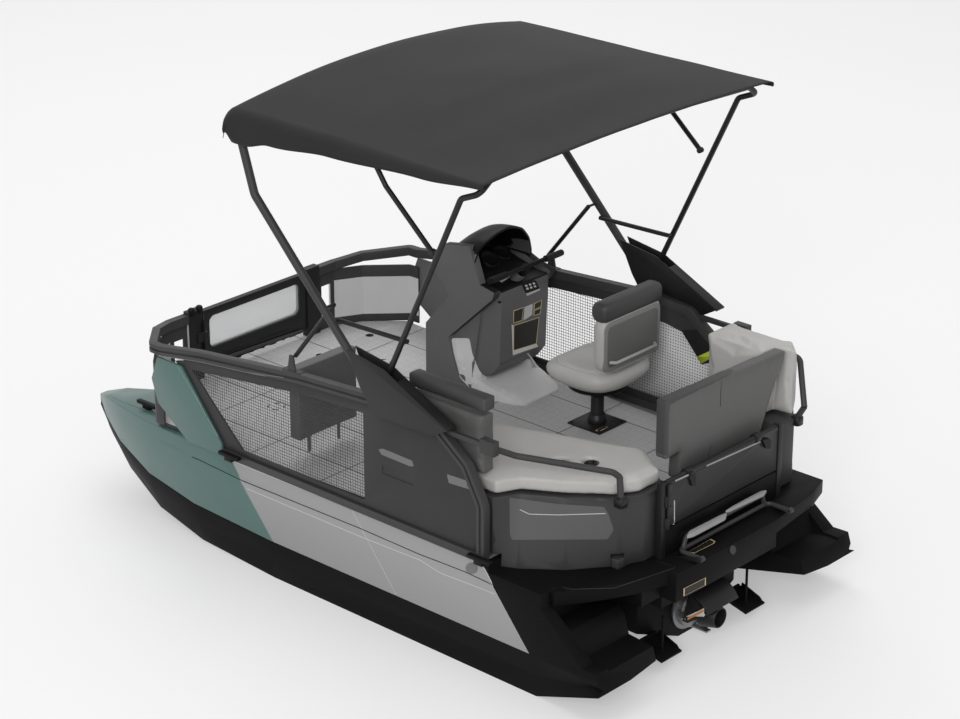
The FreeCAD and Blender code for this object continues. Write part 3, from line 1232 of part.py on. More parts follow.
def pump():
    """Pump housing, taper and throat on the transom, with the ears for nozzle and bucket."""
    start = Vector(at.centre_stern_x - at.cover_gap, 0, at.pump_z)
    taper = start + AFT * at.pump_length
    throat = taper + AFT * at.taper_length
    body = [cone_shell(start, at.pump_radius, at.pump_radius, at.pump_length, at.pump_wall),
            cone_shell(start, at.pump_radius + at.flange, at.pump_radius + at.flange,
                       at.flange_wall, at.flange + at.pump_wall),
            cone_shell(taper, at.pump_radius, at.throat_radius, at.taper_length, at.pump_wall),
            cone_shell(throat, at.throat_radius, at.throat_radius, at.throat_length,
                       at.throat_wall)]
    half = at.ear_width / 2
    low = at.pump_radius - at.pump_wall
    pin_x = nozzle_pivot()
    for side in (1, -1):
        near, far = sorted((at.pump_z + side * low, at.pump_z + side * at.pump_radius))
        body.append(brick((pin_x - half, -half, near), (taper.x + half, half, far)))
        near, far = sorted((side * low, side * at.pump_radius))
        body.append(brick((at.bucket_pivot_x - half, near, at.pump_z - half),
                          (taper.x + half, far, at.pump_z + half)))
        body.append(rod((at.bucket_pivot_x, side * low, at.pump_z),
                        (at.bucket_pivot_x, side * at.bucket_half_width, at.pump_z),
                        at.nozzle_pin))
    feature("jet_pump", fused(body))


def nozzle_pivot():
    """The steering nozzle turns about an upright pin near the end of the throat."""
    throat_end = (at.centre_stern_x - at.cover_gap - at.pump_length - at.taper_length
                  - at.throat_length)
    return throat_end + at.nozzle_pin


def nozzle():
    """Tapered steering nozzle that overlaps the throat, on two upright pins."""
    pin_x = nozzle_pivot()
    start = Vector(pin_x - at.nozzle_pin + at.nozzle_overlap, 0, at.pump_z)
    outer = Part.makeCone(at.nozzle_radius, at.nozzle_mouth, at.nozzle_length, start, AFT)
    inner = Part.makeCone(at.nozzle_radius - at.nozzle_wall, at.nozzle_mouth - at.nozzle_wall,
                          at.nozzle_length, start, AFT)
    reach = at.pump_radius - at.pump_wall - at.joint_gap
    pins = [rod((pin_x, 0, at.pump_z + side * at.nozzle_mouth),
                (pin_x, 0, at.pump_z + side * reach), at.nozzle_pin) for side in (1, -1)]
    feature("steering_nozzle", fused([outer] + pins).cut(inner))


BLADES = 4


def impeller():
    start = Vector(at.centre_stern_x - at.cover_gap - at.joint_gap, 0, at.pump_z)
    front = start + AFT * at.flange_wall
    shaft = Part.makeCylinder(at.shaft_radius, at.impeller_length, start, AFT)
    hub = Part.makeCylinder(at.hub_radius, at.impeller_length, front, AFT)
    tip = at.pump_radius - at.pump_wall - at.blade_gap
    half = at.blade_wall / 2
    blades = []
    for i in range(BLADES):
        sections = []
        for along, turn in ((0, -1), (1, 1)):
            angle = math.radians(360 * i / BLADES + at.blade_turn * turn / 2)
            out = Vector(0, math.cos(angle), math.sin(angle))
            side = Vector(0, -math.sin(angle), math.cos(angle))
            base = front + AFT * (at.impeller_length * along)
            inner = base + out * (at.hub_radius / 2)
            outer = base + out * tip
            sections.append([tuple(inner - side * half), tuple(outer - side * half),
                             tuple(outer + side * half), tuple(inner + side * half)])
        blades.append(ruled(sections))
    feature("impeller", fused([shaft, hub] + blades).removeSplitter())


def bucket():
    """Reverse bucket: a curved shell between two cheeks, raised above the nozzle."""
    pivot = Vector(at.bucket_pivot_x, 0, at.pump_z)
    half = at.bucket_half_width
    outer = at.bucket_radius
    inner = outer - at.bucket_wall
    start = math.radians(at.bucket_start)
    end = math.radians(at.bucket_start + at.bucket_sweep)
    middle = (start + end) / 2

    def spot(radius, angle, y):
        return pivot + Vector(radius * math.cos(angle), y, radius * math.sin(angle))

    edges = [Part.Arc(spot(outer, start, -half), spot(outer, middle, -half),
                      spot(outer, end, -half)).toShape(),
             Part.LineSegment(spot(outer, end, -half), spot(inner, end, -half)).toShape(),
             Part.Arc(spot(inner, end, -half), spot(inner, middle, -half),
                      spot(inner, start, -half)).toShape(),
             Part.LineSegment(spot(inner, start, -half), spot(outer, start, -half)).toShape()]
    pieces = [Part.Face(Part.Wire(edges)).extrude(Vector(0, half * 2, 0))]
    hole = at.nozzle_pin + at.joint_gap
    for side in (1, -1):
        low = min(side * half, side * (half - at.cheek_wall))
        cheek = prism([tuple(spot(outer, start, 0) + Vector(0, low, 0)),
                       tuple(spot(outer, end, 0) + Vector(0, low, 0)),
                       (pivot.x - hole * 2, low, pivot.z - hole * 2),
                       (pivot.x + hole * 2, low, pivot.z - hole * 2)], (0, at.cheek_wall, 0))
        pin = Part.makeCylinder(hole, at.cheek_wall, Vector(pivot.x, low, pivot.z),
                                Vector(0, 1, 0))
        pieces.append(cheek.cut(pin))
    feature("reverse_bucket", fused(pieces).removeSplitter())


def trim_tabs():
    """Plates hinged low on the transom, with the rod that sets them."""
    for name, side in (("port", 1), ("starboard", -1)):
        x = at.centre_stern_x - at.cover_gap - at.tab_barrel - at.soft_gap
        y = side * at.tab_y
        half = at.tab_width / 2
        droop = math.radians(at.tab_droop)
        way = Vector(-math.cos(droop), 0, -math.sin(droop))
        lift = Vector(-math.sin(droop), 0, math.cos(droop)) * at.tab_wall / 2
        root = Vector(x, y, at.tab_z)
        end = root + way * at.tab_length
        plate = prism([tuple(root + lift - Vector(0, half, 0)), tuple(end + lift - Vector(0, half, 0)),
                       tuple(end - lift - Vector(0, half, 0)),
                       tuple(root - lift - Vector(0, half, 0))], (0, half * 2, 0))
        barrel = rod((x, y - half, at.tab_z), (x, y + half, at.tab_z), at.tab_barrel)
        seat = root + way * at.rod_set
        upright = rod(tuple(seat), (seat.x, seat.y, seat.z + at.rod_length), at.rod_radius)
        feature("trim_tab_" + name, fused([plate, barrel, upright]).removeSplitter())


def main():
    side_hulls()
    centre_hull()
    deck()
    platform()
    rails()
    side_panels()
    fairings()
    bow_panels()
    bow_gate()
    stern_gate()
    ladder()
    top_housings()
    canopy()
    sun_top()
    cleats()
    handrails()
    console()
    node(footrest(), "footrest")
    handlebar()
    helm_seat()
    lounges()
    loose_backs()
    pump()
    nozzle()
    impeller()
    bucket()
    trim_tabs()
    doc.recompute()
    for obj in doc.Objects:
        if "Invalid" in obj.State or "Error" in obj.State:
            raise RuntimeError("%s is %s" % (obj.Label, obj.State))
    for obj in nodes:
        if obj.Shape.isNull() or not obj.Shape.isValid():
            raise RuntimeError(obj.Label + " has no valid shape")
    os.makedirs("parts", exist_ok=True)
    for obj in nodes:
        obj.Shape.exportStep("parts/%s.step" % obj.Label)
        print(obj.Label, len(obj.Shape.Solids), round(obj.Shape.Volume))


main()
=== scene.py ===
# %% [markdown]
# # A small triple-hull leisure boat
#
# The boat was first built as exact solids, and this script dresses them. Every solid arrives as
# an object at the origin with its place in its mesh, so nothing here has to be fitted by eye.

# %% Load the solids
import json
import math

import bmesh
import bpy
from mathutils import Matrix, Vector, noise


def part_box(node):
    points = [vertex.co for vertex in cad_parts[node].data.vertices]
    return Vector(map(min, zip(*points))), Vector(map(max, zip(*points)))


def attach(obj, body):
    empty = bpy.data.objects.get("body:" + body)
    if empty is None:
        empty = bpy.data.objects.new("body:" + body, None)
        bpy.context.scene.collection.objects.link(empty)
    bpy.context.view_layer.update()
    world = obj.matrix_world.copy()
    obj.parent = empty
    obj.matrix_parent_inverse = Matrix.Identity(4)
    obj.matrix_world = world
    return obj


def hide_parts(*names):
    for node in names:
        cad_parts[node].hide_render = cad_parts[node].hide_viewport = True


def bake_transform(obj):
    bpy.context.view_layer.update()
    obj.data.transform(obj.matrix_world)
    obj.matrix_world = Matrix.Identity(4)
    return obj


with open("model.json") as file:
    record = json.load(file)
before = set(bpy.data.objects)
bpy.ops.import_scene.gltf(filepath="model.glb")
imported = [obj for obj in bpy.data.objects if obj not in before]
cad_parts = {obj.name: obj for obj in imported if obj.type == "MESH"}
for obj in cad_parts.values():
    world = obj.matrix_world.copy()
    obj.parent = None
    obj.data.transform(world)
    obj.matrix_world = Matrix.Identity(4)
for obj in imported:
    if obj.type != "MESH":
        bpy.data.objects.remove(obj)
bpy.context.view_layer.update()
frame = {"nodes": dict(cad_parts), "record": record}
body_of = {}
for body, nodes in frame["record"]["behaviour"]["bodies"].items():
    for node in nodes:
        body_of[node] = body

# %% [markdown]
# ## Camera
#
# The boat is seen from behind its port quarter and from above. A long lens keeps the lines of
# the deck nearly parallel, as they are in the photograph.

# %% Camera
LENS_MM = 101.387
SENSOR_MM = 36.0
CAMERA_PLACE = (-9.14023, 9.74934, 6.66136)
VIEW_TURN = math.radians(47.7233)
VIEW_DIP = math.radians(22.8295)

eye = bpy.data.cameras.new("studio_camera")
eye.lens = LENS_MM
eye.sensor_width = SENSOR_MM
eye.sensor_fit = "HORIZONTAL"
eye.clip_end = 200.0
camera = bpy.data.objects.new("studio_camera", eye)
bpy.context.scene.collection.objects.link(camera)
camera.location = CAMERA_PLACE
look = Vector((math.cos(VIEW_TURN) * math.cos(VIEW_DIP),
               -math.sin(VIEW_TURN) * math.cos(VIEW_DIP), -math.sin(VIEW_DIP)))
camera.rotation_euler = look.to_track_quat("-Z", "Y").to_euler()
bpy.context.scene.camera = camera
print("camera looks along", tuple(round(v, 3) for v in look))

# %% [markdown]
# ## A short way to write shader maths
#
# A material is easier to read as a sum than as a web of nodes. `Wire` stands for one output
# socket. Adding, multiplying or comparing two wires places a Math node and gives back its wire.
# `Recipe` holds one material, and its `node` method places any other node.

# %% Shader maths
class Wire:
    """One value on its way through a material."""

    def __init__(self, recipe, socket):
        self.recipe = recipe
        self.socket = socket

    def _math(self, operation, first, second=0.0):
        return self.recipe.node("ShaderNodeMath", {"operation": operation}, {0: first, 1: second})

    def __add__(self, other):
        return self._math("ADD", self, other)

    __radd__ = __add__

    def __mul__(self, other):
        return self._math("MULTIPLY", self, other)

    __rmul__ = __mul__

    def __sub__(self, other):
        return self._math("SUBTRACT", self, other)

    def __rsub__(self, other):
        return self._math("SUBTRACT", other, self)

    def __lt__(self, other):
        return self._math("LESS_THAN", self, other)

    def sine(self):
        return self._math("SINE", self)

    def repeat(self, step):
        """Distance from the nearest of the lines that lie one step apart."""
        return self._math("PINGPONG", self, step / 2)

    def low(self, other):
        return self._math("MINIMUM", self, other)

    def high(self, other):
        return self._math("MAXIMUM", self, other)

    def ease(self, start, end, first=0.0, last=1.0):
        """Goes smoothly from first to last while the value goes from start to end."""
        return self.recipe.node("ShaderNodeMapRange", {"interpolation_type": "SMOOTHSTEP"},
                                {0: self, 1: start, 2: end, 3: first, 4: last})


class Recipe:
    def __init__(self, name):
        self.material = bpy.data.materials.new(name)
        self.material.use_nodes = True
        self.tree = self.material.node_tree
        self.shader = self.tree.nodes["Principled BSDF"]
        self.place = self.node("ShaderNodeTexCoord", output="Object")

    def node(self, kind, settings=None, inputs=None, output=0):
        made = self.tree.nodes.new(kind)
        for key, value in (settings or {}).items():
            setattr(made, key, value)
        for key, value in (inputs or {}).items():
            self.connect(made.inputs[key], value)
        return Wire(self, made.outputs[output])

    def connect(self, socket, value):
        if isinstance(value, Wire):
            self.tree.links.new(value.socket, socket)
        else:
            socket.default_value = value

    def axis(self, index):
        return self.node("ShaderNodeSeparateXYZ", inputs={0: self.place}, output=index)

    def noise(self, scale, detail=2.0, stretch=None):
        place = self.place
        if stretch:
            place = self.node("ShaderNodeMapping", inputs={0: place, "Scale": stretch})
        return self.node("ShaderNodeTexNoise",
                         inputs={"Vector": place, "Scale": scale, "Detail": detail})

    def cells(self, scale, feature="F1"):
        return self.node("ShaderNodeTexVoronoi", {"feature": feature},
                         {"Vector": self.place, "Scale": scale}, "Distance")

    def blend(self, share, first, second):
        """Mix node on colours: its colour sockets are the seventh and eighth inputs."""
        made = self.tree.nodes.new("ShaderNodeMix")
        made.data_type = "RGBA"
        for key, value in ((0, share), (6, first), (7, second)):
            if key and not isinstance(value, Wire):
                value = (*value, 1.0)
            self.connect(made.inputs[key], value)
        return Wire(self, made.outputs[2])

    def bump(self, height, depth):
        return self.node("ShaderNodeBump",
                         inputs={"Height": height, "Distance": depth, "Strength": 1.0})

    def finish(self, **sockets):
        for key, value in sockets.items():
            if isinstance(value, tuple) and len(value) == 3:
                value = (*value, 1.0)
            self.connect(self.shader.inputs[key.replace("_", " ")], value)
        return self.material


def shade(colour, share):
    """The same colour, darker or lighter."""
    return tuple(c * share for c in colour)


print("shader maths ready")

# %% [markdown]
# ## Finishes
#
# The hulls and mouldings are rotation-moulded plastic: satin, with a fine pebble grain that
# breaks up the highlight. A little slow variation in roughness keeps large faces from looking
# like a computer's flat grey. The painted covers have a smooth coat over a fine metallic flake.

# %% Moulded plastic and paint
def moulded(name, colour, rough=0.5, grain=0.00012, scale=700.0, shine=0.35):
    r = Recipe(name)
    slow = r.noise(2.5, 3.0)
    pebbles = r.cells(scale)
    return r.finish(Base_Color=r.blend(slow, shade(colour, 0.86), shade(colour, 1.1)),
                    Roughness=rough + (slow - 0.5) * 0.12, Specular_IOR_Level=shine,
                    Normal=r.bump(pebbles, grain))


def painted(name, colour, rough=0.3, flake=0.12, metallic=0.25):
    r = Recipe(name)
    fine = r.noise(2600.0, 1.0)
    slow = r.noise(1.3, 2.0)
    skin = r.bump(r.noise(60.0, 2.0), 0.00025)
    return r.finish(Base_Color=r.blend(fine * 0.7 + slow * 0.3, shade(colour, 1 - flake),
                                       shade(colour, 1 + flake)),
                    Metallic=metallic, Roughness=rough + (slow - 0.5) * 0.06,
                    Coat_Weight=0.15, Coat_Roughness=0.15, Normal=skin)


def powder(name, colour, rough=0.42):
    r = Recipe(name)
    fine = r.noise(900.0, 2.0)
    slow = r.noise(5.0, 2.0)
    return r.finish(Base_Color=r.blend(slow, colour, shade(colour, 1.25)),
                    Roughness=rough + (fine - 0.5) * 0.15, Specular_IOR_Level=0.3,
                    Normal=r.bump(fine, 0.00008))


def alloy(name, colour, rough=0.32):
    r = Recipe(name)
    brushed = r.noise(220.0, 3.0, stretch=(0.08, 1.0, 1.0))
    return r.finish(Base_Color=r.blend(brushed, shade(colour, 0.85), colour),
                    Metallic=1.0, Roughness=rough + (brushed - 0.5) * 0.2,
                    Normal=r.bump(brushed, 0.00005))


hull_black = moulded("hull_black", (0.006, 0.006, 0.0062), 0.5, 0.0001, shine=0.07)
moulding_dark = moulded("moulding_dark", (0.04, 0.04, 0.041), 0.5)
moulding_grey = moulded("moulding_grey", (0.125, 0.125, 0.126), 0.5)
moulding_recess = moulded("moulding_recess", (0.1, 0.1, 0.101), 0.5)
moulding_pale = moulded("moulding_pale", (0.7, 0.7, 0.7), 0.5)
plastic_black = moulded("plastic_black", (0.009, 0.009, 0.009), 0.4, shine=0.12)
# Lit and shaded copies of the silver and teal paint, for painted highlights on edges and painted
# shade in a groove.
silver_highlight = painted("silver_highlight", (0.56, 0.56, 0.56), 0.3, 0.03, 0.1)
teal_highlight = painted("teal_highlight", (0.17, 0.3, 0.27), 0.3, 0.05, 0.1)
teal_shade = painted("teal_shade", (0.04, 0.07, 0.063), 0.4, 0.05, 0.0)
liner_pale = moulded("liner_pale", (0.62, 0.62, 0.62), 0.55)
teal = painted("teal_paint", (0.082, 0.16, 0.145), 0.34, 0.08, 0.08)
silver = painted("silver_paint", (0.335, 0.335, 0.337), 0.38, 0.05, 0.12)
panel_dark = powder("panel_dark", (0.03, 0.03, 0.031), 0.5)
metal_black = powder("metal_black", (0.012, 0.012, 0.0125))
metal_grey = powder("metal_grey", (0.04, 0.04, 0.041), 0.45)
bare_alloy = alloy("bare_alloy", (0.72, 0.72, 0.73))
cast_alloy = alloy("cast_alloy", (0.33, 0.33, 0.34), 0.45)
print("hard finishes made")

# %% [markdown]
# ## Cloth and upholstery
#
# The sun top is a woven canvas: two sets of threads cross on a slant, so the bump is the sum of
# two waves. The seats are marine vinyl, a knit-backed sheet pressed with a pebbled leather grain.

# %% Canvas and vinyl
THREAD_PITCH = 0.0045


def canvas(name, colour):
    r = Recipe(name)
    x, y = r.axis(0), r.axis(1)
    pitch = 2 * math.pi / THREAD_PITCH
    weave = ((x + y) * pitch).sine() * 0.5 + ((x - y) * (pitch / 2)).sine() * 0.3
    slow = r.noise(3.5, 4.0)
    fluff = r.noise(500.0, 2.0)
    tone = r.blend(weave * 0.22 + slow * 0.5 + fluff * 0.3, shade(colour, 0.72),
                   shade(colour, 1.28))
    return r.finish(Base_Color=tone, Roughness=0.9, Specular_IOR_Level=0.15, Sheen_Weight=0.08,
                    Normal=r.bump(weave + fluff * 0.4, 0.0004))


def vinyl(name, colour, rough=0.46):
    r = Recipe(name)
    grain = r.cells(420.0, "DISTANCE_TO_EDGE")
    slow = r.noise(6.0, 3.0)
    tone = r.blend(slow * 0.8 + grain.ease(0.0, 0.25) * 0.2, shade(colour, 0.88),
                   shade(colour, 1.08))
    return r.finish(Base_Color=tone, Roughness=rough + (slow - 0.5) * 0.1,
                    Normal=r.bump(grain.ease(0.0, 0.3), 0.00018))


canvas_dark = canvas("canvas_charcoal", (0.027, 0.027, 0.0274))
vinyl_grey = vinyl("vinyl_grey", (0.5, 0.492, 0.475))
vinyl_shade = vinyl("vinyl_shade", (0.1, 0.098, 0.096))
vinyl_dark = vinyl("vinyl_charcoal", (0.05, 0.05, 0.05))
print("soft finishes made")

# %% [markdown]
# ## Deck mat, window and net
#
# The deck mat is soft foam, cut into tiles by narrow grooves and pressed with short grip marks.
# Both repeat, so each is a distance from the nearest line of a grid, compared with half the
# width of a groove or a mark. The window is smoked plastic. Net that is too fine to be made of
# threads is a pale skin with a grid of dark dots.

# %% Deck mat
TILE_LONG, TILE_WIDE = 0.52, 0.36
MARK_LONG, MARK_THIN = 0.013, 0.0035
MARK_PITCH = 0.03


def deck_mat(name, colour):
    r = Recipe(name)
    x, y = r.axis(0), r.axis(1)
    groove = x.repeat(TILE_LONG).low(y.repeat(TILE_WIDE)).ease(0.0025, 0.005)
    row = (y.repeat(MARK_PITCH) < MARK_THIN) * (x.repeat(MARK_PITCH * 2) < MARK_LONG)
    column = (y.repeat(MARK_PITCH * 2) < MARK_LONG) * (x.repeat(MARK_PITCH) < MARK_THIN)
    marks = row.high(column)
    fleck = r.noise(90.0, 3.0)
    slow = r.noise(2.0, 3.0)
    tone = r.blend(fleck * 0.55 + slow * 0.45, shade(colour, 0.85), shade(colour, 1.12))
    tone = r.blend((1 - groove) * 0.8, tone, (0.06, 0.06, 0.06))
    tone = r.blend(marks * 0.16, tone, (0.1, 0.1, 0.1))
    return r.finish(Base_Color=tone, Roughness=0.75,
                    Normal=r.bump(groove * 2 + fleck * 0.2 - marks * 0.4, 0.001))


def smoked(name, colour, alpha):
    r = Recipe(name)
    slow = r.noise(4.0, 2.0)
    return r.finish(Base_Color=r.blend(slow, colour, shade(colour, 1.1)),
                    Roughness=0.12 + slow * 0.05, Alpha=alpha, Normal=r.bump(slow, 0.0004))


NET_PITCH = 0.0172
NET_DOT = 0.0036


def net_backing(name):
    """Pale skin with a grid of dark dots, at the pitch of the net."""
    r = Recipe(name)
    x, z = r.axis(0), r.axis(2)
    dots = (x.repeat(NET_PITCH) < NET_DOT) * (z.repeat(NET_PITCH) < NET_DOT)
    slow = r.noise(3.0, 2.0)
    tone = r.blend(slow, (0.62, 0.62, 0.62), (0.72, 0.72, 0.72))
    return r.finish(Base_Color=r.blend(dots, tone, (0.1, 0.1, 0.1)), Roughness=0.6,
                    Normal=r.bump(dots, 0.0006))


mat_foam = deck_mat("deck_foam", (0.55, 0.55, 0.55))
window_smoked = smoked("window_smoked", (0.62, 0.63, 0.64), 0.45)
net_liner = net_backing("net_liner")
net_grey = powder("net_grey", (0.055, 0.055, 0.057), 0.55)
print("mat, window and net finishes made")

# %% [markdown]
# ## Small finishes
#
# Lines, caps and plates are small, so a powder-coated finish of the right colour is enough for
# them. The seat's shell is moulded plastic in three greys.

# %% Small finishes
# Bright marks: plates and strips in this colour are bright themselves, and along the edge of the
# sunk panel on the seat base it is a painted highlight.
bright_mark_and_highlight = powder("bright_mark_and_highlight", (0.5, 0.5, 0.5), 0.35)
line_dark = powder("line_dark", (0.006, 0.006, 0.006), 0.6)
# Painted highlight along the edge of the stern shelf.
edge_highlight = powder("edge_highlight", (0.05, 0.05, 0.05), 0.4)
cap_dark = powder("cap_dark", (0.02, 0.02, 0.02), 0.4)
# Painted shade, for the faces that lean over the footwell and the band under the seat cushion.
moulding_shade = powder("moulding_shade", (0.035, 0.035, 0.035), 0.5)
line_gold = powder("line_gold", (0.6, 0.47, 0.27), 0.5)
label_dark = powder("label_dark", (0.015, 0.014, 0.012), 0.5)
label_white = powder("label_white", (0.62, 0.61, 0.58), 0.55)
label_orange = powder("label_orange", (0.55, 0.24, 0.09), 0.55)
label_lime = powder("label_lime", (0.42, 0.5, 0.04), 0.55)
rail_light = powder("rail_light", (0.17, 0.17, 0.17), 0.4)
cap_grey = powder("cap_grey", (0.16, 0.16, 0.16), 0.5)
pad_grey = powder("pad_grey", (0.3, 0.3, 0.3), 0.5)
shell_rim = moulded("shell_rim", (0.24, 0.24, 0.237), 0.5)
shell_grey = moulded("shell_grey", (0.14, 0.14, 0.138), 0.5)
shell_light = moulded("shell_light", (0.42, 0.42, 0.415), 0.45)
print("small finishes made")

# %% [markdown]
# ## Dressing a solid
#
# A solid from the CAD has knife-sharp edges. Real mouldings and extrusions have small rounded
# edges that catch the light, so each hard solid is copied, merged into clean faces and given a
# narrow bevel. The copy stands for the solid from then on.

# %% Dressing helpers
MERGE = 0.00002
FLAT_ANGLE = math.radians(1.0)
EDGE_PARTS = 2


def new_piece(name, mesh, materials):
    piece = bpy.data.objects.new(name, mesh)
    bpy.context.scene.collection.objects.link(piece)
    for material in materials:
        mesh.materials.append(material)
    return piece


def copied_mesh(node, name, flat=True):
    """Clean copy of a solid's triangles, with flat regions joined to single faces."""
    mesh = bpy.data.meshes.new(name)
    work = bmesh.new()
    work.from_mesh(frame["nodes"][node].data)
    bmesh.ops.remove_doubles(work, verts=work.verts, dist=MERGE)
    if flat:
        bmesh.ops.dissolve_limit(work, angle_limit=FLAT_ANGLE, verts=work.verts,
                                 edges=work.edges)
    for face in work.faces:
        face.material_index = 0
        face.smooth = True
    work.to_mesh(mesh)
    work.free()
    return mesh


def outward(piece):
    """Merges doubled points and turns all faces outwards."""
    work = bmesh.new()
    work.from_mesh(piece.data)
    bmesh.ops.remove_doubles(work, verts=work.verts, dist=MERGE / 2)
    bmesh.ops.recalc_face_normals(work, faces=work.faces)
    for face in work.faces:
        face.smooth = True
    work.to_mesh(piece.data)
    work.free()


def settled(piece):
    """Applies a piece's modifiers by replacing its mesh with the evaluated one."""
    graph = bpy.context.evaluated_depsgraph_get()
    mesh = bpy.data.meshes.new_from_object(piece.evaluated_get(graph))
    piece.modifiers.clear()
    piece.data = mesh
    return piece


def walled(piece, thickness, offset=-1):
    wall = piece.modifiers.new("wall", "SOLIDIFY")
    wall.thickness = thickness
    wall.offset = offset
    return settled(piece)


def rounded(piece, width, angle=35.0):
    """Narrow bevel on every edge that turns by more than the angle."""
    bevel = piece.modifiers.new("edges", "BEVEL")
    bevel.width = width
    bevel.segments = EDGE_PARTS
    bevel.limit_method = "ANGLE"
    bevel.angle_limit = math.radians(angle)
    bevel.use_clamp_overlap = True
    bevel.harden_normals = False
    settled(piece)
    piece.data.set_sharp_from_angle(angle=math.radians(50))
    return piece


dressed_pieces = {}


def dressed(node, material, width):
    """Clean, softly edged copy that stands for a solid."""
    name = node + "_dressed"
    piece = new_piece(name, copied_mesh(node, name), [material])
    rounded(piece, width)
    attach(piece, body_of[node])
    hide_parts(node)
    dressed_pieces[node] = piece


# %% [markdown]
# ## Hard pieces
#
# One table holds every hard solid with its finish and the width of its edges: about 8 mm on a
# rotation-moulded hull, 3 mm on an extrusion and 1 mm on a tube or a thin plate. Then two copies
# are fitted to their neighbours: the console's wall ends under the cowl, and the corners of the
# deck mat stay inside the stern seats. The mat's side faces are plain dark plastic.

# %% Hard pieces
for node, material, width in (
        ("hull_port", hull_black, 0.008), ("hull_starboard", hull_black, 0.008),
        ("hull_centre", hull_black, 0.008), ("bow_covers", teal, 0.006),
        ("side_covers", silver, 0.006), ("engine_block", cast_alloy, 0.004),
        ("deck_frame", moulding_dark, 0.004), ("deck_panel", mat_foam, 0.003),
        ("stern_platform", hull_black, 0.008), ("rail_port", metal_grey, 0.003),
        ("rail_starboard", metal_grey, 0.003), ("side_panels", panel_dark, 0.0015),
        ("fairings", teal, 0.002), ("bow_panels", metal_grey, 0.0015),
        ("bow_posts", metal_black, 0.003), ("bow_gate", metal_black, 0.003),
        ("bow_gate_window", window_smoked, 0.001), ("stern_posts", metal_black, 0.003),
        ("threshold", hull_black, 0.003), ("stern_gate", metal_black, 0.003),
        ("ladder", metal_grey, 0.001), ("ladder_ears", metal_black, 0.001),
        ("top_housings", metal_black, 0.003), ("top_arm", metal_grey, 0.0015),
        ("top_pole", metal_black, 0.001), ("top_mid", metal_black, 0.001),
        ("top_links", metal_black, 0.001), ("top_braces", metal_black, 0.001),
        ("cleats", plastic_black, 0.004), ("handrails", metal_grey, 0.0015),
        ("console", moulding_grey, 0.012),
        ("footrest", moulding_pale, 0.012), ("handlebar", plastic_black, 0.002),
        ("lounge_base_port", moulding_dark, 0.012),
        ("lounge_base_starboard", moulding_dark, 0.012), ("jet_pump", cast_alloy, 0.001),
        ("steering_nozzle", metal_black, 0.001), ("impeller", bare_alloy, 0.0005),
        ("reverse_bucket", metal_black, 0.001), ("trim_tab_port", hull_black, 0.002),
        ("trim_tab_starboard", hull_black, 0.002)):
    dressed(node, material, width)

WALL_Y, WALL_TOP = -0.7, 1.36
for vert in dressed_pieces["console"].data.vertices:
    if vert.co.y < WALL_Y and vert.co.z > WALL_TOP:
        vert.co.z = WALL_TOP

# aft of this x and outside this y, y is multiplied and x moved forward
MAT_CORNERS = ((-1.6, 0.5, 0.82, 0.05), (-1.2, 0.9, 0.9, 0.04))
mat = dressed_pieces["deck_panel"].data
mat.materials.append(moulding_dark)
for vert in mat.vertices:
    for aft_of, outside, share, forward in MAT_CORNERS:
        if vert.co.x < aft_of and abs(vert.co.y) > outside:
            vert.co.y *= share
            vert.co.x += forward
            break
for face in mat.polygons:
    face.material_index = int(abs(face.normal.z) < 0.7)
print("dressed", len(dressed_pieces), "solids")

# %% [markdown]
# ## Cushions
#
# A boat cushion is foam inside a sewn vinyl cover. The foam pushes the cover out in the middle of
# each face and the seams hold it in along the edges. Cloth simulation does the same: a slightly
# smaller copy of the solid is remeshed into even squares, blown up a little with pressure, and
# kept from moving further than the foam would. Seams are added afterwards, because the remesh
# would wipe them away.

# %% Stuffed cushions
def shrunk_mesh(node, name, inset):
    mesh = copied_mesh(node, name, flat=False)
    work = bmesh.new()
    work.from_mesh(mesh)
    low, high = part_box(node)
    middle = [(a + b) / 2 for a, b in zip(low, high)]
    for vert in work.verts:
        for i in range(3):
            half = (high[i] - low[i]) / 2
            vert.co[i] = middle[i] + (vert.co[i] - middle[i]) * max(0.2, (half - inset) / half)
    work.to_mesh(mesh)
    work.free()
    return mesh


def relaxed(piece, rounds):
    work = bmesh.new()
    work.from_mesh(piece.data)
    for _ in range(rounds):
        bmesh.ops.smooth_vert(work, verts=work.verts, factor=0.5, use_axis_x=True,
                              use_axis_y=True, use_axis_z=True)
    work.to_mesh(piece.data)
    work.free()


PRESSURE = 4.0
CLOTH_FRAMES = 20
FEW_FACES = 24000


def blown_up(piece, most):
    """Cloth pressure, with the distance that any point may move held to `most`."""
    start = [v.co.copy() for v in piece.data.vertices]
    scene = bpy.context.scene
    cloth = piece.modifiers.new("filling", "CLOTH")
    cloth.settings.quality = 4
    cloth.settings.mass = 0.4
    cloth.settings.tension_stiffness = 25
    cloth.settings.compression_stiffness = 25
    cloth.settings.bending_stiffness = 2.0
    cloth.settings.use_pressure = True
    cloth.settings.uniform_pressure_force = PRESSURE
    cloth.settings.effector_weights.gravity = 0.0
    cloth.collision_settings.use_collision = False
    cloth.point_cache.frame_start = 1
    cloth.point_cache.frame_end = CLOTH_FRAMES
    for step in range(1, CLOTH_FRAMES + 1):
        scene.frame_set(step)
    settled(piece)
    scene.frame_set(1)
    for vert, place in zip(piece.data.vertices, start):
        way = vert.co - place
        if way.length > most:
            vert.co = place + way * (most / way.length)


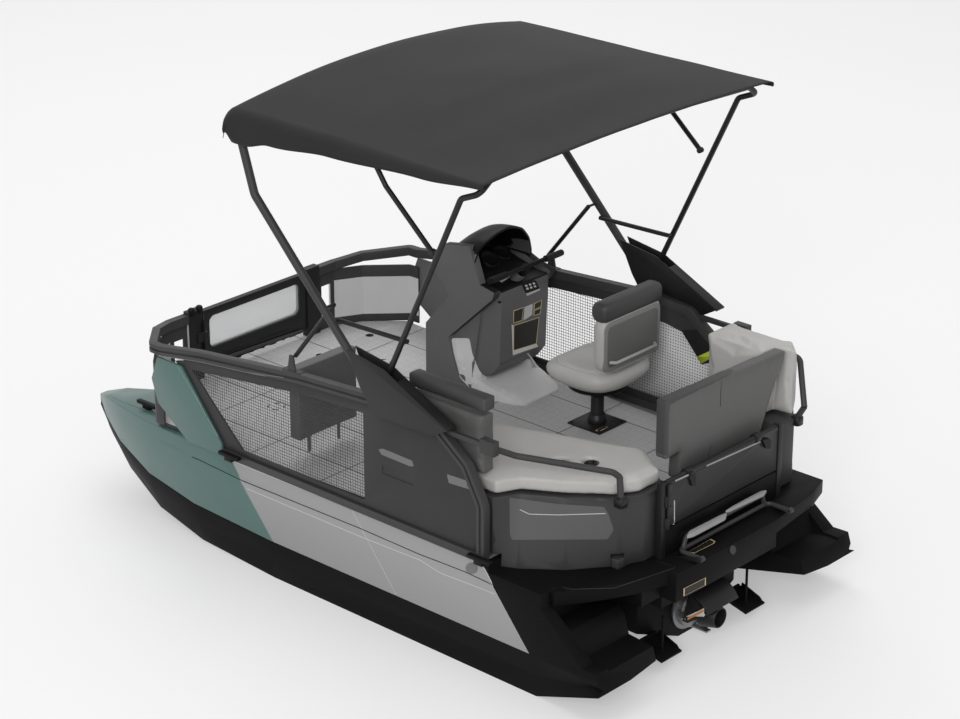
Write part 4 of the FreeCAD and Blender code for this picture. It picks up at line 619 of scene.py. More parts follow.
def stuffed(node, material, inset, voxel, most, smooth):
    name = node + "_cushion"
    piece = new_piece(name, shrunk_mesh(node, name, inset), [material])
    grid = piece.modifiers.new("even_squares", "REMESH")
    grid.mode = "VOXEL"
    grid.voxel_size = voxel * 1
    settled(piece)
    relaxed(piece, smooth)
    blown_up(piece, most)
    relaxed(piece, 2)
    finer = piece.modifiers.new("finer", "SUBSURF")
    finer.levels = finer.render_levels = int(len(piece.data.polygons) < FEW_FACES)
    settled(piece)
    piece.data.materials.clear()
    piece.data.materials.append(material)
    for face in piece.data.polygons:
        face.use_smooth = True
    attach(piece, body_of[node])
    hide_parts(node)
    print(name, len(piece.data.polygons), "faces")
    return piece


# %% Cushion pieces
cushions = {}
for node, material, inset, voxel, most, smooth in (
        ("lounge_cushion_port", vinyl_grey, 0.01, 0.01, 0.014, 4),
        ("lounge_cushion_starboard", vinyl_grey, 0.01, 0.009, 0.014, 4),
        ("side_back_port", vinyl_shade, 0.006, 0.008, 0.01, 3),
        ("side_bolster", vinyl_dark, 0.006, 0.008, 0.01, 3),
        ("stern_backrest", vinyl_shade, 0.005, 0.008, 0.008, 2),
        ("fore_backrest", vinyl_shade, 0.005, 0.008, 0.008, 2)):
    cushions[node] = stuffed(node, material, inset, voxel, most, smooth)

# %% [markdown]
# ## Sun top
#
# The sun top is one sheet of canvas pulled over three hoops. It crowns across the boat, rolls
# down over the front hoop and hangs over each side in a narrow soft valance. Here it is a grid of
# points: one way runs from bow to stern, the other from one valance over the crown to the other.
# Between the hoops the cloth sinks a little. On the boat the hem is a doubled, stitched band,
# which the sheet leaves out.

# %% Canvas sheet
canopy_low, canopy_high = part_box("canopy")
TOP_FRONT, TOP_AFT = canopy_high[0] - 0.004, canopy_low[0] + 0.002
TOP_HALF = canopy_high[1] - 0.001
TOP_EDGE = 2.604
TOP_CROWN = 0.112
HOOP_X = (0.392, -0.51, -1.235)
CROWN_SHARES = ((TOP_AFT, 0.3), (-0.78, 0.7), (-0.16, 0.97), (0.3, 1.0), (TOP_FRONT, 0.86))
VALANCE_DROPS = ((TOP_AFT, 0.026), (-0.9, 0.055), (-0.3, 0.088), (0.12, 0.125), (0.3, 0.165),
                 (0.38, 0.165), (TOP_FRONT, 0.085))
SHOULDER = 0.06
NOSE_ROLL = 0.07
CLOTH_SAG, SAG_REACH = 0.012, 0.45
FLAT_SHARE, BEND_SHARE = 0.8, 0.92
SHEET_ROWS, SHEET_COLUMNS = 72, 100
CLOTH_WALL = 0.003


def between(spots, value):
    """Smooth value at a place on a short table of (place, value) pairs."""
    spots = sorted(spots)
    if value <= spots[0][0]:
        return spots[0][1]
    for (a, first), (b, last) in zip(spots, spots[1:]):
        if value <= b:
            t = (value - a) / (b - a)
            return first + (last - first) * t * t * (3 - 2 * t)
    return spots[-1][1]


def sheet_point(x, across):
    """A point of the sheet; across runs from -1, one hem, to 1, the other."""
    drop = between(VALANCE_DROPS, x)
    crown = TOP_CROWN * between(CROWN_SHARES, x)
    side = 1 if across > 0 else -1
    share = abs(across)
    slack = min(abs(x - h) for h in HOOP_X)
    sag = CLOTH_SAG * math.sin(min(1.0, slack / SAG_REACH) * math.pi / 2)
    nose = max(0.0, (x - (TOP_FRONT - NOSE_ROLL)) / NOSE_ROLL)
    roll = NOSE_ROLL * (1 - math.sqrt(max(0.0, 1 - nose * nose)))
    round_over = min(SHOULDER, drop * 0.75)
    bend_y = TOP_HALF - round_over
    bend_z = TOP_EDGE + crown * (1 - (bend_y / TOP_HALF) ** 2)
    if share <= FLAT_SHARE:
        y = bend_y * share / FLAT_SHARE
        z = TOP_EDGE + crown * (1 - (y / TOP_HALF) ** 2) - sag * (1 - (y / TOP_HALF) ** 2)
    elif share <= BEND_SHARE:
        turn = (share - FLAT_SHARE) / (BEND_SHARE - FLAT_SHARE) * math.pi / 2
        y = TOP_HALF - round_over * (1 - math.sin(turn))
        z = bend_z - round_over * (1 - math.cos(turn))
    else:
        down = (share - BEND_SHARE) / (1 - BEND_SHARE)
        top = bend_z - round_over
        z = top + (TOP_EDGE - drop - top) * down
        y = TOP_HALF - 0.006 * math.sin(down * math.pi) - 0.004 * down
    wave = noise.noise(Vector((x * 2.2, y * side * 2.2, 3.1))) * 0.005
    return Vector((x, y * side, z - roll + wave * (1 - nose)))


def canvas_sheet():
    """The sheet with its wall, and its area before the wall; rows crowd toward the front."""
    rows = [TOP_AFT + (TOP_FRONT - TOP_AFT) * (1 - (1 - i / SHEET_ROWS) ** 1.25)
            for i in range(SHEET_ROWS + 1)]
    across = [-1 + 2 * i / SHEET_COLUMNS for i in range(SHEET_COLUMNS + 1)]
    mesh = bpy.data.meshes.new("canopy_sheet")
    points = [sheet_point(x, a) for x in rows for a in across]
    width = len(across)
    faces = [(r * width + c, r * width + c + 1, (r + 1) * width + c + 1, (r + 1) * width + c)
             for r in range(len(rows) - 1) for c in range(width - 1)]
    mesh.from_pydata(points, [], faces)
    area = sum(face.area for face in mesh.polygons)
    sheet = new_piece("canopy_sheet", mesh, [canvas_dark])
    walled(sheet, CLOTH_WALL)
    outward(sheet)
    return sheet, area


sun_sheet, sheet_area = canvas_sheet()
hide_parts("canopy")
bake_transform(sun_sheet)
print("canvas area", round(sheet_area, 3), "m2")

# %% [markdown]
# ## Side nets
#
# Behind the long rail hangs a knotless net with square holes of about two fingers. Each thread
# is a straight run across the panel's outline, so the runs are found by cutting a family of
# lines with that outline. A Geometry Nodes tree then gives every run its round thread.

# %% Net threads
THREAD_RADIUS = 0.00165
THREAD_LIFT = 0.0015


def flat_outline(node, side):
    """Corner points of the biggest flat face of a plate on one side of the boat."""
    work = bmesh.new()
    work.from_mesh(copied_mesh(node, node + "_outline"))
    faces = [f for f in work.faces if f.calc_center_median().y * side > 0
             and f.normal.y * side > 0.9]
    face = max(faces, key=lambda f: f.calc_area())
    points = [v.co.copy() for v in face.verts]
    work.free()
    return points


def crossings(points, index, value):
    """Places where the line (coordinate `index` == value) crosses a closed outline."""
    other = 2 - index
    hits = []
    for a, b in zip(points, points[1:] + points[:1]):
        if (a[index] - value) * (b[index] - value) < 0:
            t = (value - a[index]) / (b[index] - a[index])
            hits.append((a[other] + (b[other] - a[other]) * t, a[1] + (b[1] - a[1]) * t))
    return sorted(hits)


def thread_runs(points, pitch, lift):
    """Straight runs in x and in z, as a mesh of loose edges."""
    verts, edges = [], []
    for index in (0, 2):
        low = min(p[index] for p in points)
        high = max(p[index] for p in points)
        for i in range(1, int((high - low) / pitch) + 1):
            hits = crossings(points, index, low + i * pitch)
            for (s, y0), (e, y1) in zip(hits[::2], hits[1::2]):
                for along, y in ((s, y0), (e, y1)):
                    place = [0.0, y + lift, 0.0]
                    place[index] = low + i * pitch
                    place[2 - index] = along
                    verts.append(place)
                edges.append((len(verts) - 2, len(verts) - 1))
    return verts, edges


def thread_tree(name, sides):
    """Geometry Nodes: loose edges become round threads of one radius and one material."""
    tree = bpy.data.node_groups.new(name, "GeometryNodeTree")
    tree.interface.new_socket("Geometry", in_out="INPUT", socket_type="NodeSocketGeometry")
    radius = tree.interface.new_socket("Radius", in_out="INPUT", socket_type="NodeSocketFloat")
    finish = tree.interface.new_socket("Finish", in_out="INPUT", socket_type="NodeSocketMaterial")
    tree.interface.new_socket("Geometry", in_out="OUTPUT", socket_type="NodeSocketGeometry")
    start = tree.nodes.new("NodeGroupInput")
    end = tree.nodes.new("NodeGroupOutput")
    to_curve = tree.nodes.new("GeometryNodeMeshToCurve")
    circle = tree.nodes.new("GeometryNodeCurvePrimitiveCircle")
    circle.inputs["Resolution"].default_value = sides
    sweep = tree.nodes.new("GeometryNodeCurveToMesh")
    sweep.inputs["Fill Caps"].default_value = True
    realize = tree.nodes.new("GeometryNodeRealizeInstances")
    paint = tree.nodes.new("GeometryNodeSetMaterial")
    link = tree.links.new
    link(start.outputs["Geometry"], to_curve.inputs["Mesh"])
    link(start.outputs["Radius"], circle.inputs["Radius"])
    link(to_curve.outputs["Curve"], sweep.inputs["Curve"])
    link(circle.outputs["Curve"], sweep.inputs["Profile Curve"])
    link(sweep.outputs["Mesh"], realize.inputs["Geometry"])
    link(realize.outputs["Geometry"], paint.inputs["Geometry"])
    link(start.outputs["Finish"], paint.inputs["Material"])
    link(paint.outputs["Geometry"], end.inputs["Geometry"])
    return tree, radius.identifier, finish.identifier


def threaded(name, verts, edges, radius, material, body, sides=4):
    """Runs the thread tree over loose edges and keeps the result as a plain mesh."""
    mesh = bpy.data.meshes.new(name)
    mesh.from_pydata(verts, edges, [])
    piece = new_piece(name, mesh, [])
    tree, radius_id, finish_id = thread_tree(name + "_tree", sides)
    threads = piece.modifiers.new("threads", "NODES")
    threads.node_group = tree
    threads[radius_id] = radius
    threads[finish_id] = material
    settled(piece)
    for face in piece.data.polygons:
        face.use_smooth = sides > 4
    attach(piece, body)
    return piece


for side, name in ((1, "net_port"), (-1, "net_starboard")):
    outline = flat_outline("mesh_panels", side)
    verts, edges = thread_runs(outline, NET_PITCH, -side * THREAD_LIFT)
    net = threaded(name, verts, edges, THREAD_RADIUS, net_grey, "boat")
    print(name, len(edges), "threads", len(net.data.polygons), "faces")
    if side > 0:
        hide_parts("mesh_panels")

# %% [markdown]
# ## Placing small things
#
# Seam lines, sunk panels and small plates are easiest to place in the picture. A ray from the
# camera through a spot of the 960 by 719 picture meets the surface that carries the detail, so
# the detail lies on that surface from every side. Its outline is cut into small cells first, and
# so it also follows a curve.

# %% Rays through the picture
from mathutils.bvhtree import BVHTree

PICTURE = (960, 719)
eye_turn = camera.rotation_euler.to_matrix()
eye_spread = SENSOR_MM / 2 / LENS_MM / (PICTURE[0] / 2)
BOAT_FAR = 14.0
NEAREST_ROUNDS = 6
UNDERSIDE = 0.0012
SEAM_STEP = 4.0
surfaces = {}


def surface_of(node):
    """Search tree of a node's dressed surface, or of several nodes' surfaces together."""
    if node not in surfaces:
        verts, faces = [], []
        for part in [node] if isinstance(node, str) else node:
            mesh = (dressed_pieces.get(part) or cushions[part]).data
            faces += [tuple(i + len(verts) for i in p.vertices) for p in mesh.polygons]
            verts += [v.co.copy() for v in mesh.vertices]
        surfaces[node] = BVHTree.FromPolygons(verts, faces)
    return surfaces[node]


def carrier(node):
    return body_of[node if isinstance(node, str) else node[0]]


def sight(spot):
    """Direction from the camera through one spot of the picture."""
    x = (spot[0] - PICTURE[0] / 2) * eye_spread
    y = (PICTURE[1] / 2 - spot[1]) * eye_spread
    return eye_turn @ Vector((x, y, -1.0))


def seen(spot, node):
    """Point and outward normal of a node behind one spot of the picture.

    A ray that misses goes on to the surface's nearest point, found in a few rounds.
    """
    way = sight(spot).normalized()
    place, normal = surface_of(node).ray_cast(camera.location, way)[:2]
    if place is None:
        place, normal = surface_of(node).find_nearest(camera.location + way * BOAT_FAR)[:2]
        for _ in range(NEAREST_ROUNDS):
            middle = camera.location + way * (place - camera.location).dot(way)
            place, normal = surface_of(node).find_nearest(middle)[:2]
    return place, normal if normal.dot(way) < 0 else -normal


def on_plane(spot, axis, value):
    """Point behind one spot of the picture on a plane across one axis of the boat."""
    way = sight(spot)
    return camera.location + way * ((value - camera.location[axis]) / way[axis])


def rounded_corners(points, radius, steps=4):
    """Replaces each corner by a short curve that is no longer than half of a side."""
    if not radius:
        return points
    ring = []
    for i, p in enumerate(points):
        a, b = points[i - 1], points[(i + 1) % len(points)]
        reach_a = min(radius, (a - p).length * 0.48)
        reach_b = min(radius, (b - p).length * 0.48)
        start = p + (a - p).normalized() * reach_a
        end = p + (b - p).normalized() * reach_b
        for k in range(steps + 1):
            t = k / steps
            ring.append(start * (1 - t) ** 2 + p * (2 * t * (1 - t)) + end * t * t)
    return ring


def mirrored(piece):
    """Adds the same shape on the other side of the boat."""
    work = bmesh.new()
    work.from_mesh(piece.data)
    twin = bmesh.ops.duplicate(work, geom=work.verts[:] + work.edges[:] + work.faces[:])["geom"]
    for item in twin:
        if isinstance(item, bmesh.types.BMVert):
            item.co.y = -item.co.y
    bmesh.ops.reverse_faces(work, faces=[f for f in twin if isinstance(f, bmesh.types.BMFace)])
    work.to_mesh(piece.data)
    work.free()


def inlay(name, node, outlines, material, lift=0.0012, corner=0.0, cell=6.0, both=False):
    """Thin plates that follow a surface; each outline is a list of spots of the picture."""
    work = bmesh.new()
    for outline in outlines:
        ring = rounded_corners([Vector((x, y, 0)) for x, y in outline], corner)
        fresh = bmesh.new()
        fresh.faces.new([fresh.verts.new(p) for p in ring])
        for axis in (0, 1):
            low = min(p[axis] for p in ring)
            high = max(p[axis] for p in ring)
            way = Vector((1, 0, 0)) if axis == 0 else Vector((0, 1, 0))
            for i in range(1, int((high - low) / cell) + 1):
                parts = fresh.verts[:] + fresh.edges[:] + fresh.faces[:]
                bmesh.ops.bisect_plane(fresh, geom=parts, plane_co=way * (low + i * cell),
                                       plane_no=way)
        for vert in fresh.verts:
            place, normal = seen((vert.co.x, vert.co.y), node)
            vert.co = place + normal * lift
        toward = camera.location - fresh.verts[:][0].co
        bmesh.ops.recalc_face_normals(fresh, faces=fresh.faces)
        mean = sum((f.normal for f in fresh.faces), Vector())
        if mean.dot(toward) < 0:
            bmesh.ops.reverse_faces(fresh, faces=fresh.faces)
        mesh = bpy.data.meshes.new("part")
        fresh.to_mesh(mesh)
        fresh.free()
        work.from_mesh(mesh)
        bpy.data.meshes.remove(mesh)
    mesh = bpy.data.meshes.new(name)
    work.to_mesh(mesh)
    work.free()
    piece = new_piece(name, mesh, [material])
    walled(piece, lift + UNDERSIDE)
    if both:
        mirrored(piece)
    for face in piece.data.polygons:
        face.use_smooth = True
    piece.data.set_sharp_from_angle(angle=math.radians(40))
    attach(piece, carrier(node))
    return piece


def seam(name, node, paths, radius, material, lift=0.0, both=False):
    """Round lines that follow a surface; each path is a list of spots of the picture."""
    verts, edges = [], []
    for path in paths:
        spots = [Vector((x, y, 0)) for x, y in path]
        first = len(verts)
        for a, b in zip(spots, spots[1:]):
            count = max(1, int((b - a).length / SEAM_STEP))
            for i in range(count):
                spot = a + (b - a) * (i / count)
                place, normal = seen((spot.x, spot.y), node)
                verts.append(place + normal * lift)
        place, normal = seen((spots[-1].x, spots[-1].y), node)
        verts.append(place + normal * lift)
        edges += [(i, i + 1) for i in range(first, len(verts) - 1)]
    piece = threaded(name, verts, edges, radius, material, carrier(node), 6)
    if both:
        mirrored(piece)
    return piece


def slabs(name, body, outlines, material, thick=0.002, out=(0, 0, 1), corner=0.0, edge=0.0006,
          sink=0.001, both=False):
    """Flat plates with rounded corners and edges, each given by its corners in the boat."""
    work = bmesh.new()
    way = Vector(out).normalized()
    for outline in outlines:
        ring = rounded_corners([Vector(p) for p in outline], corner)
        normal = Vector()
        for a, b in zip(ring, ring[1:] + ring[:1]):
            normal += a.cross(b)
        if normal.dot(way) < 0:
            ring.reverse()
            normal = -normal
        normal.normalize()
        low = [work.verts.new(p - normal * sink) for p in ring]
        high = [work.verts.new(p + normal * thick) for p in ring]
        work.faces.new(high)
        work.faces.new(low[::-1])
        for i in range(len(ring)):
            j = (i + 1) % len(ring)
            work.faces.new((low[i], low[j], high[j], high[i]))
    mesh = bpy.data.meshes.new(name)
    work.to_mesh(mesh)
    work.free()
    for face in mesh.polygons:
        face.use_smooth = True
    piece = new_piece(name, mesh, [material])
    if edge:
        rounded(piece, edge, 30)
    if both:
        mirrored(piece)
    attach(piece, body)
    return piece


print("picture is", PICTURE, "spots")

# %% [markdown]
# ## Helm seat
#
# The helm seat is a moulded bucket cushion with an inset top panel, a back cushion, a dark roll
# along its top and a rigid shell behind. Each soft form is a stack of rounded rings, wide at the
# middle of its thickness and drawn in at the seams, so it bulges between them as foam does.

# %% Ring forms
def ring_form(name, rings, axis, body, material, steps=64):
    """Closed form; each ring gives its place along the axis, two half sizes and a squareness."""
    first, second = [i for i in range(3) if i != axis]
    verts = []
    for along, middle, halves, square in rings:
        for k in range(steps):
            turn = 2 * math.pi * k / steps
            place = [0.0, 0.0, 0.0]
            place[axis] = along
            for i, wave, half in ((first, math.cos(turn), halves[0]),
                                  (second, math.sin(turn), halves[1])):
                centre = middle[0] if i == first else middle[1]
                place[i] = centre + half * math.copysign(abs(wave) ** (2 / square), wave)
            verts.append(place)
    faces = []
    for r in range(len(rings) - 1):
        for k in range(steps):
            n = (k + 1) % steps
            faces.append((r * steps + k, r * steps + n, (r + 1) * steps + n, (r + 1) * steps + k))
    for r, flip in ((0, True), (len(rings) - 1, False)):
        centre = [0.0, 0.0, 0.0]
        centre[axis] = rings[r][0]
        centre[first], centre[second] = rings[r][1]
        verts.append(centre)
        for k in range(steps):
            n = (k + 1) % steps
            faces.append((r * steps + n, r * steps + k, len(verts) - 1) if flip else
                         (r * steps + k, r * steps + n, len(verts) - 1))
    mesh = bpy.data.meshes.new(name)
    mesh.from_pydata(verts, [], faces)
    piece = new_piece(name, mesh, [material])
    outward(piece)
    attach(piece, body)
    return piece


def turned(name, place, rings, material, steps, square=2):
    """Upright turned shape; each ring gives its height above the place and its radius."""
    x, y, z = place
    return ring_form(name, [(z + up, (x, y), (radius, radius), square) for up, radius in rings],
                     2, "boat", material, steps)


# %% [markdown]
# ## Cushions of the helm seat
#
# The seat cushion bulges past its solid by a few millimetres. Its front edge rolls down and its
# sides stand up a little. The back cushion and the roll above it are stacks of rings along the
# boat and across it.

# %% Helm cushions
SEAT_PROUD = 0.006
BACK_SHIFT = Vector((-0.02, 0, 0.036))
BACK_HALVES = (0.243, 0.172)
ROLL_HALVES = (0.054, 0.056)
seat_low, seat_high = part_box("seat_cushion")
seat_mid = ((seat_low[0] + seat_high[0]) / 2, (seat_low[1] + seat_high[1]) / 2)
seat_half = ((seat_high[0] - seat_low[0]) / 2 + SEAT_PROUD,
             (seat_high[1] - seat_low[1]) / 2 + SEAT_PROUD)
SEAT_RINGS = ((0.0, 0.6), (0.006, 0.72), (0.02, 0.83), (0.042, 0.93), (0.066, 0.99),
              (0.088, 1.0), (0.107, 0.975), (0.119, 0.93), (0.1245, 0.875), (0.1235, 0.845),
              (0.119, 0.835), (0.1235, 0.82), (0.1285, 0.77), (0.1265, 0.6), (0.122, 0.4),
              (0.12, 0.2))
helm_cushion = ring_form("helm_cushion", [
    (seat_low[2] + z, seat_mid, (seat_half[0] * s, seat_half[1] * s), 3.4 - 0.6 * (s < 0.9))
    for z, s in SEAT_RINGS], 2, "helm_seat", vinyl_grey)


def seat_swell(p):
    """The front edge rolls down and the sides stand up a little."""
    ahead = (p.x - seat_mid[0]) / seat_half[0]
    aside = (p.y - seat_mid[1]) / seat_half[1]
    high = max(0.0, (p.z - seat_low[2] - 0.06) / 0.06)
    return Vector((0, 0, high * (0.012 * abs(aside) ** 3 - 0.02 * max(0.0, ahead) ** 3)))


for vert in helm_cushion.data.vertices:
    vert.co += seat_swell(vert.co)
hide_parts("seat_cushion")

back_low, back_high = [Vector(corner) + BACK_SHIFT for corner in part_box("seat_back")]
back_mid = ((back_low[1] + back_high[1]) / 2, back_low[2] + 0.175)
BACK_RINGS = ((0.018, 0.9, 0.9), (0.02, 0.96, 0.965), (0.035, 1.0, 1.0), (0.06, 1.0, 1.0),
              (0.08, 0.985, 0.98), (0.094, 0.93, 0.92), (0.1, 0.87, 0.85), (0.099, 0.835, 0.81),
              (0.095, 0.825, 0.8), (0.1, 0.81, 0.78), (0.104, 0.7, 0.66), (0.102, 0.4, 0.4))
back_cushion = ring_form("helm_back_cushion", [
    (back_low[0] + x, back_mid, (BACK_HALVES[0] * a, BACK_HALVES[1] * b), 5.0)
    for x, a, b in BACK_RINGS], 0, "helm_seat", vinyl_grey)
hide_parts("seat_back")

ROLL_RINGS = ((0.0, 0.35), (0.004, 0.7), (0.014, 0.9), (0.03, 1.0), (0.12, 1.0), (0.245, 1.0),
              (0.37, 1.0), (0.46, 1.0), (0.476, 0.9), (0.486, 0.7), (0.49, 0.35))
back_roll = ring_form("helm_back_roll", [
    (back_low[1] + y, (back_low[0] + 0.056, back_high[2] - 0.042),
     (ROLL_HALVES[0] * s, ROLL_HALVES[1] * s), 3.0)
    for y, s in ROLL_RINGS], 1, "helm_seat", vinyl_dark)
print("helm cushions made")

# %% [markdown]
# ## Shell and pedestal of the helm seat
#
# Behind the back cushion is a rigid shell of two plates, the smaller one raised, with a round
# handle across it. The seat turns on a post, with a turned collar at each end, a square foot
# plate, a bare plate on it and four bolts.

# %% Shell behind the back cushion
def back_plate(name, inset, thick, out, material, corner, edge):
    x = back_low[0] + 0.022 - out
    y0, y1 = back_low[1] + 0.012 + inset, back_high[1] - 0.012 - inset
    z0, z1 = back_low[2] + 0.02 + inset, back_high[2] - 0.095 - inset
    return slabs(name, "helm_seat", [[(x, y0, z0), (x, y1, z0), (x, y1, z1), (x, y0, z1)]],
                 material, thick, (-1, 0, 0), corner, edge, sink=0.012)


back_plate("helm_shell", 0.0, 0.006, 0.0, shell_rim, 0.05, 0.004)
back_plate("helm_shell_panel", 0.026, 0.003, 0.006, shell_grey, 0.035, 0.002)
HANDLE_RADIUS = 0.0095
handle_x = back_low[0] - 0.012
handle_z = back_low[2] + 0.075
threaded("helm_handle", [(handle_x + 0.03, back_low[1] + 0.06, handle_z),
                         (handle_x, back_low[1] + 0.08, handle_z),
                         (handle_x, back_high[1] - 0.08, handle_z),
                         (handle_x + 0.03, back_high[1] - 0.06, handle_z)],
         [(0, 1), (1, 2), (2, 3)], HANDLE_RADIUS, shell_light, "helm_seat", 10)
dressed("seat_pan", plastic_black, 0.01)
dressed("seat_pedestal", metal_black, 0.003)
print("seat shell made")

# %% Post and foot plate
COLLAR = ((0.0, 0.05), (0.004, 0.052), (0.03, 0.05), (0.034, 0.046), (0.05, 0.044), (0.054, 0.04))
BOLT_RINGS = ((-0.001, 0.009), (0.003, 0.009), (0.006, 0.006))
BOLT_REACH = 0.097
post_low, post_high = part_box("seat_pedestal")
post_x, post_y = (post_low[0] + post_high[0]) / 2, (post_low[1] + post_high[1]) / 2
turned("post_boot", (post_x, post_y, post_low[2] + 0.01), COLLAR, metal_black, 40)
turned("post_head", (post_x, post_y, seat_high[2] - 0.145), [(-up, r) for up, r in COLLAR],
       metal_black, 40)
plate_z = post_low[2] + 0.0105


def foot_plate_patch(name, x0, x1, y0, y1, material, thick):
    slabs(name, "boat", [[(post_x + x, post_y + y, plate_z)
                          for x, y in ((x0, y0), (x0, y1), (x1, y1), (x1, y0))]],
          material, thick, edge=0.0)


foot_plate_patch("post_plate_label", -0.095, -0.07, 0.02, 0.1, line_gold, 0.0006)
foot_plate_patch("post_plate_label_face", -0.091, -0.074, 0.025, 0.095, label_dark, 0.0012)
corners = [(a, b) for a in (-BOLT_REACH, BOLT_REACH) for b in (-BOLT_REACH, BOLT_REACH)]
for i, (a, b) in enumerate(corners):
    turned("plate_bolt_%d" % i, (post_x + a, post_y + b, plate_z), BOLT_RINGS, metal_black, 16)
print("helm seat made")

# %% [markdown]
# ## Seams, sunk panels and small plates
#
# The seat base has a sunk panel with a painted highlight along its upper edge, and a painted
# shade on the moulding just under the cushion. They could be cut into the moulding, but a thin
# plate and a thin round line that lie on its surface look the same from a step away and leave
# its mesh alone. Each outline is a named list of spots of the picture.

# %% Seat base
BASE_PANEL = [[(509.3, 497.5), (557.8, 504.0), (604.1, 506.8), (608.4, 513.5), (613.7, 529.8),
               (607.8, 539.3), (511.8, 539.9), (509.9, 534.0)]]
PANEL_EDGE_HIGHLIGHT = [[(520.0, 509.6), (529.2, 514.1), (557.8, 514.9), (605.5, 513.5)]]
UNDER_CUSHION_SHADE = [[(500.0, 484.3), (524.2, 489.4), (563.5, 493.9), (597.1, 498.4), (619.6, 500.6),
             (642.0, 496.7), (665.0, 484.9), (665.0, 488.3), (642.6, 500.6), (619.6, 504.5),
             (597.1, 502.3), (563.5, 497.8), (524.2, 493.3), (500.0, 488.3)]]
inlay("base_panel", "lounge_base_port", BASE_PANEL, moulding_recess, corner=2.0, cell=5.0)
# Painted highlight along the upper edge of the sunk panel.
seam("base_panel_highlight", "lounge_base_port", PANEL_EDGE_HIGHLIGHT, 0.0026, bright_mark_and_highlight)
# Painted shade on the moulding just under the cushion.
inlay("under_cushion_shade", "lounge_base_port", UNDER_CUSHION_SHADE, moulding_shade, 0.002, cell=5.0)
print("seat base lined")

# %% [markdown]
# ## Bare plates
#
# A small plate with a thin rim is two inlays: the rim is the whole outline, and the face is the
# same outline drawn in by the width of the rim and lifted a little higher.

# %% Bare plates
SHELF_PLATE = [(688.0, 552.2), (710.8, 539.0), (715.5, 541.6), (713.6, 543.8), (693.4, 553.6)]
APRON_PLATE = [(683.5, 588.7), (705.7, 577.5), (705.7, 585.1), (683.5, 596.3)]
BUCKET_PLATE = [(686.4, 616.8), (704.6, 607.5), (705.2, 616.5), (688.9, 624.6)]
BUCKET_BAND = [[(687.5, 617.6), (703.7, 609.2), (704.0, 611.7), (687.8, 620.1)]]


def blank_label(name, node, spots, frame_px, rim=line_gold, face=label_dark):
    """A bare plate with a thin rim."""
    middle = sum((Vector(spot) for spot in spots), Vector((0, 0))) / len(spots)
    inner = []
    for spot in spots:
        way = middle - Vector(spot)
        inner.append(tuple(Vector(spot) + way.normalized() * min(frame_px, way.length * 0.4)))
    inlay(name + "_rim", node, [spots], rim, 0.0008, cell=8.0)
    inlay(name + "_face", node, [inner], face, 0.0014, cell=8.0)


blank_label("shelf_label", "stern_platform", SHELF_PLATE, 1.2)
blank_label("apron_label", "stern_platform", APRON_PLATE, 1.2)
blank_label("bucket_label", "reverse_bucket", BUCKET_PLATE, 1.0, label_white, label_white)
inlay("bucket_band", "reverse_bucket", BUCKET_BAND, label_orange, 0.0018)
print("bare plates laid")

# %% [markdown]
# ## Stern shelf
#
# The moulded shelf is joined from three pieces, so dark joint lines cross it. A slightly lighter
# line along its edge is a painted highlight where the corner catches the light.

# %% Stern shelf
SHELF_JOINTS = [[(527.5, 575.2), (571.9, 591.5)],
                [(656.6, 561.2), (675.1, 566.8), (675.1, 574.7)]]
SHELF_HIGHLIGHT = [[(557.8, 585.9), (571.9, 589.3), (614.0, 588.1), (646.2, 577.5), (675.1, 567.7)]]
SHELF_CAP = [[(731.8, 544.4), (735.2, 546.6), (735.7, 551.1), (732.9, 555.0), (729.6, 552.8),
              (729.0, 548.3)]]
seam("shelf_joints", "stern_platform", SHELF_JOINTS, 0.0016, line_dark)
# Painted highlight where the shelf's corner catches the light.
seam("shelf_highlight", "stern_platform", SHELF_HIGHLIGHT, 0.0012, edge_highlight)
inlay("shelf_cap", "stern_platform", SHELF_CAP, cap_dark, 0.004, corner=2.0, cell=4.0)
print("stern shelf lined")

# %% [markdown]
# ## Helm console
#
# The cowl is a hollow dome, open toward the driver. Its roof is a row of arcs that rise from the
# low lip in front, and their crown follows the height of the dome across the boat. A skin of
# faces between the arcs gets its wall from Solidify, so the edge toward the driver shows a real
# thickness.

# %% Cowl
ROOF = ((-0.897, 1.335), (-0.885, 1.385), (-0.84, 1.475), (-0.76, 1.555), (-0.65, 1.596),
        (-0.55, 1.583), (-0.46, 1.548), (-0.42, 1.515), (-0.404, 1.47), (-0.401, 1.335))
ROOF_FOOT, ROOF_RISE = 1.335, 0.262
ROOF_PARTS = 4
ARC_PARTS = 16
COWL_WALL = 0.012
CHEEK_TOP = 1.5


def roof_line():
    """Crown of the roof across the boat, divided and smoothed once."""
    spots = [(a[0] + (b[0] - a[0]) * t / ROOF_PARTS, a[1] + (b[1] - a[1]) * t / ROOF_PARTS)
             for a, b in zip(ROOF, ROOF[1:]) for t in range(ROOF_PARTS)] + [ROOF[-1]]
    middle = [((a[0] + 2 * b[0] + c[0]) / 4, (a[1] + 2 * b[1] + c[1]) / 4)
              for a, b, c in zip(spots, spots[1:], spots[2:])]
    return [spots[0], *middle, spots[-1]]


def roof_arc(y, top):
    """Points from the driver's edge over the crown down to the low lip in front."""
    rise = (top - ROOF_FOOT) / ROOF_RISE
    start = Vector((0.155 - 0.065 * rise, y, top))
    bend = Vector((0.3 + 0.03 * rise, y, top + 0.004 * rise))
    front = Vector((0.436, y * 0.97 - 0.0195, 1.328))
    return [start * (1 - t) ** 2 + bend * (2 * t * (1 - t)) + front * t * t
            for t in [k / ARC_PARTS for k in range(ARC_PARTS + 1)]]


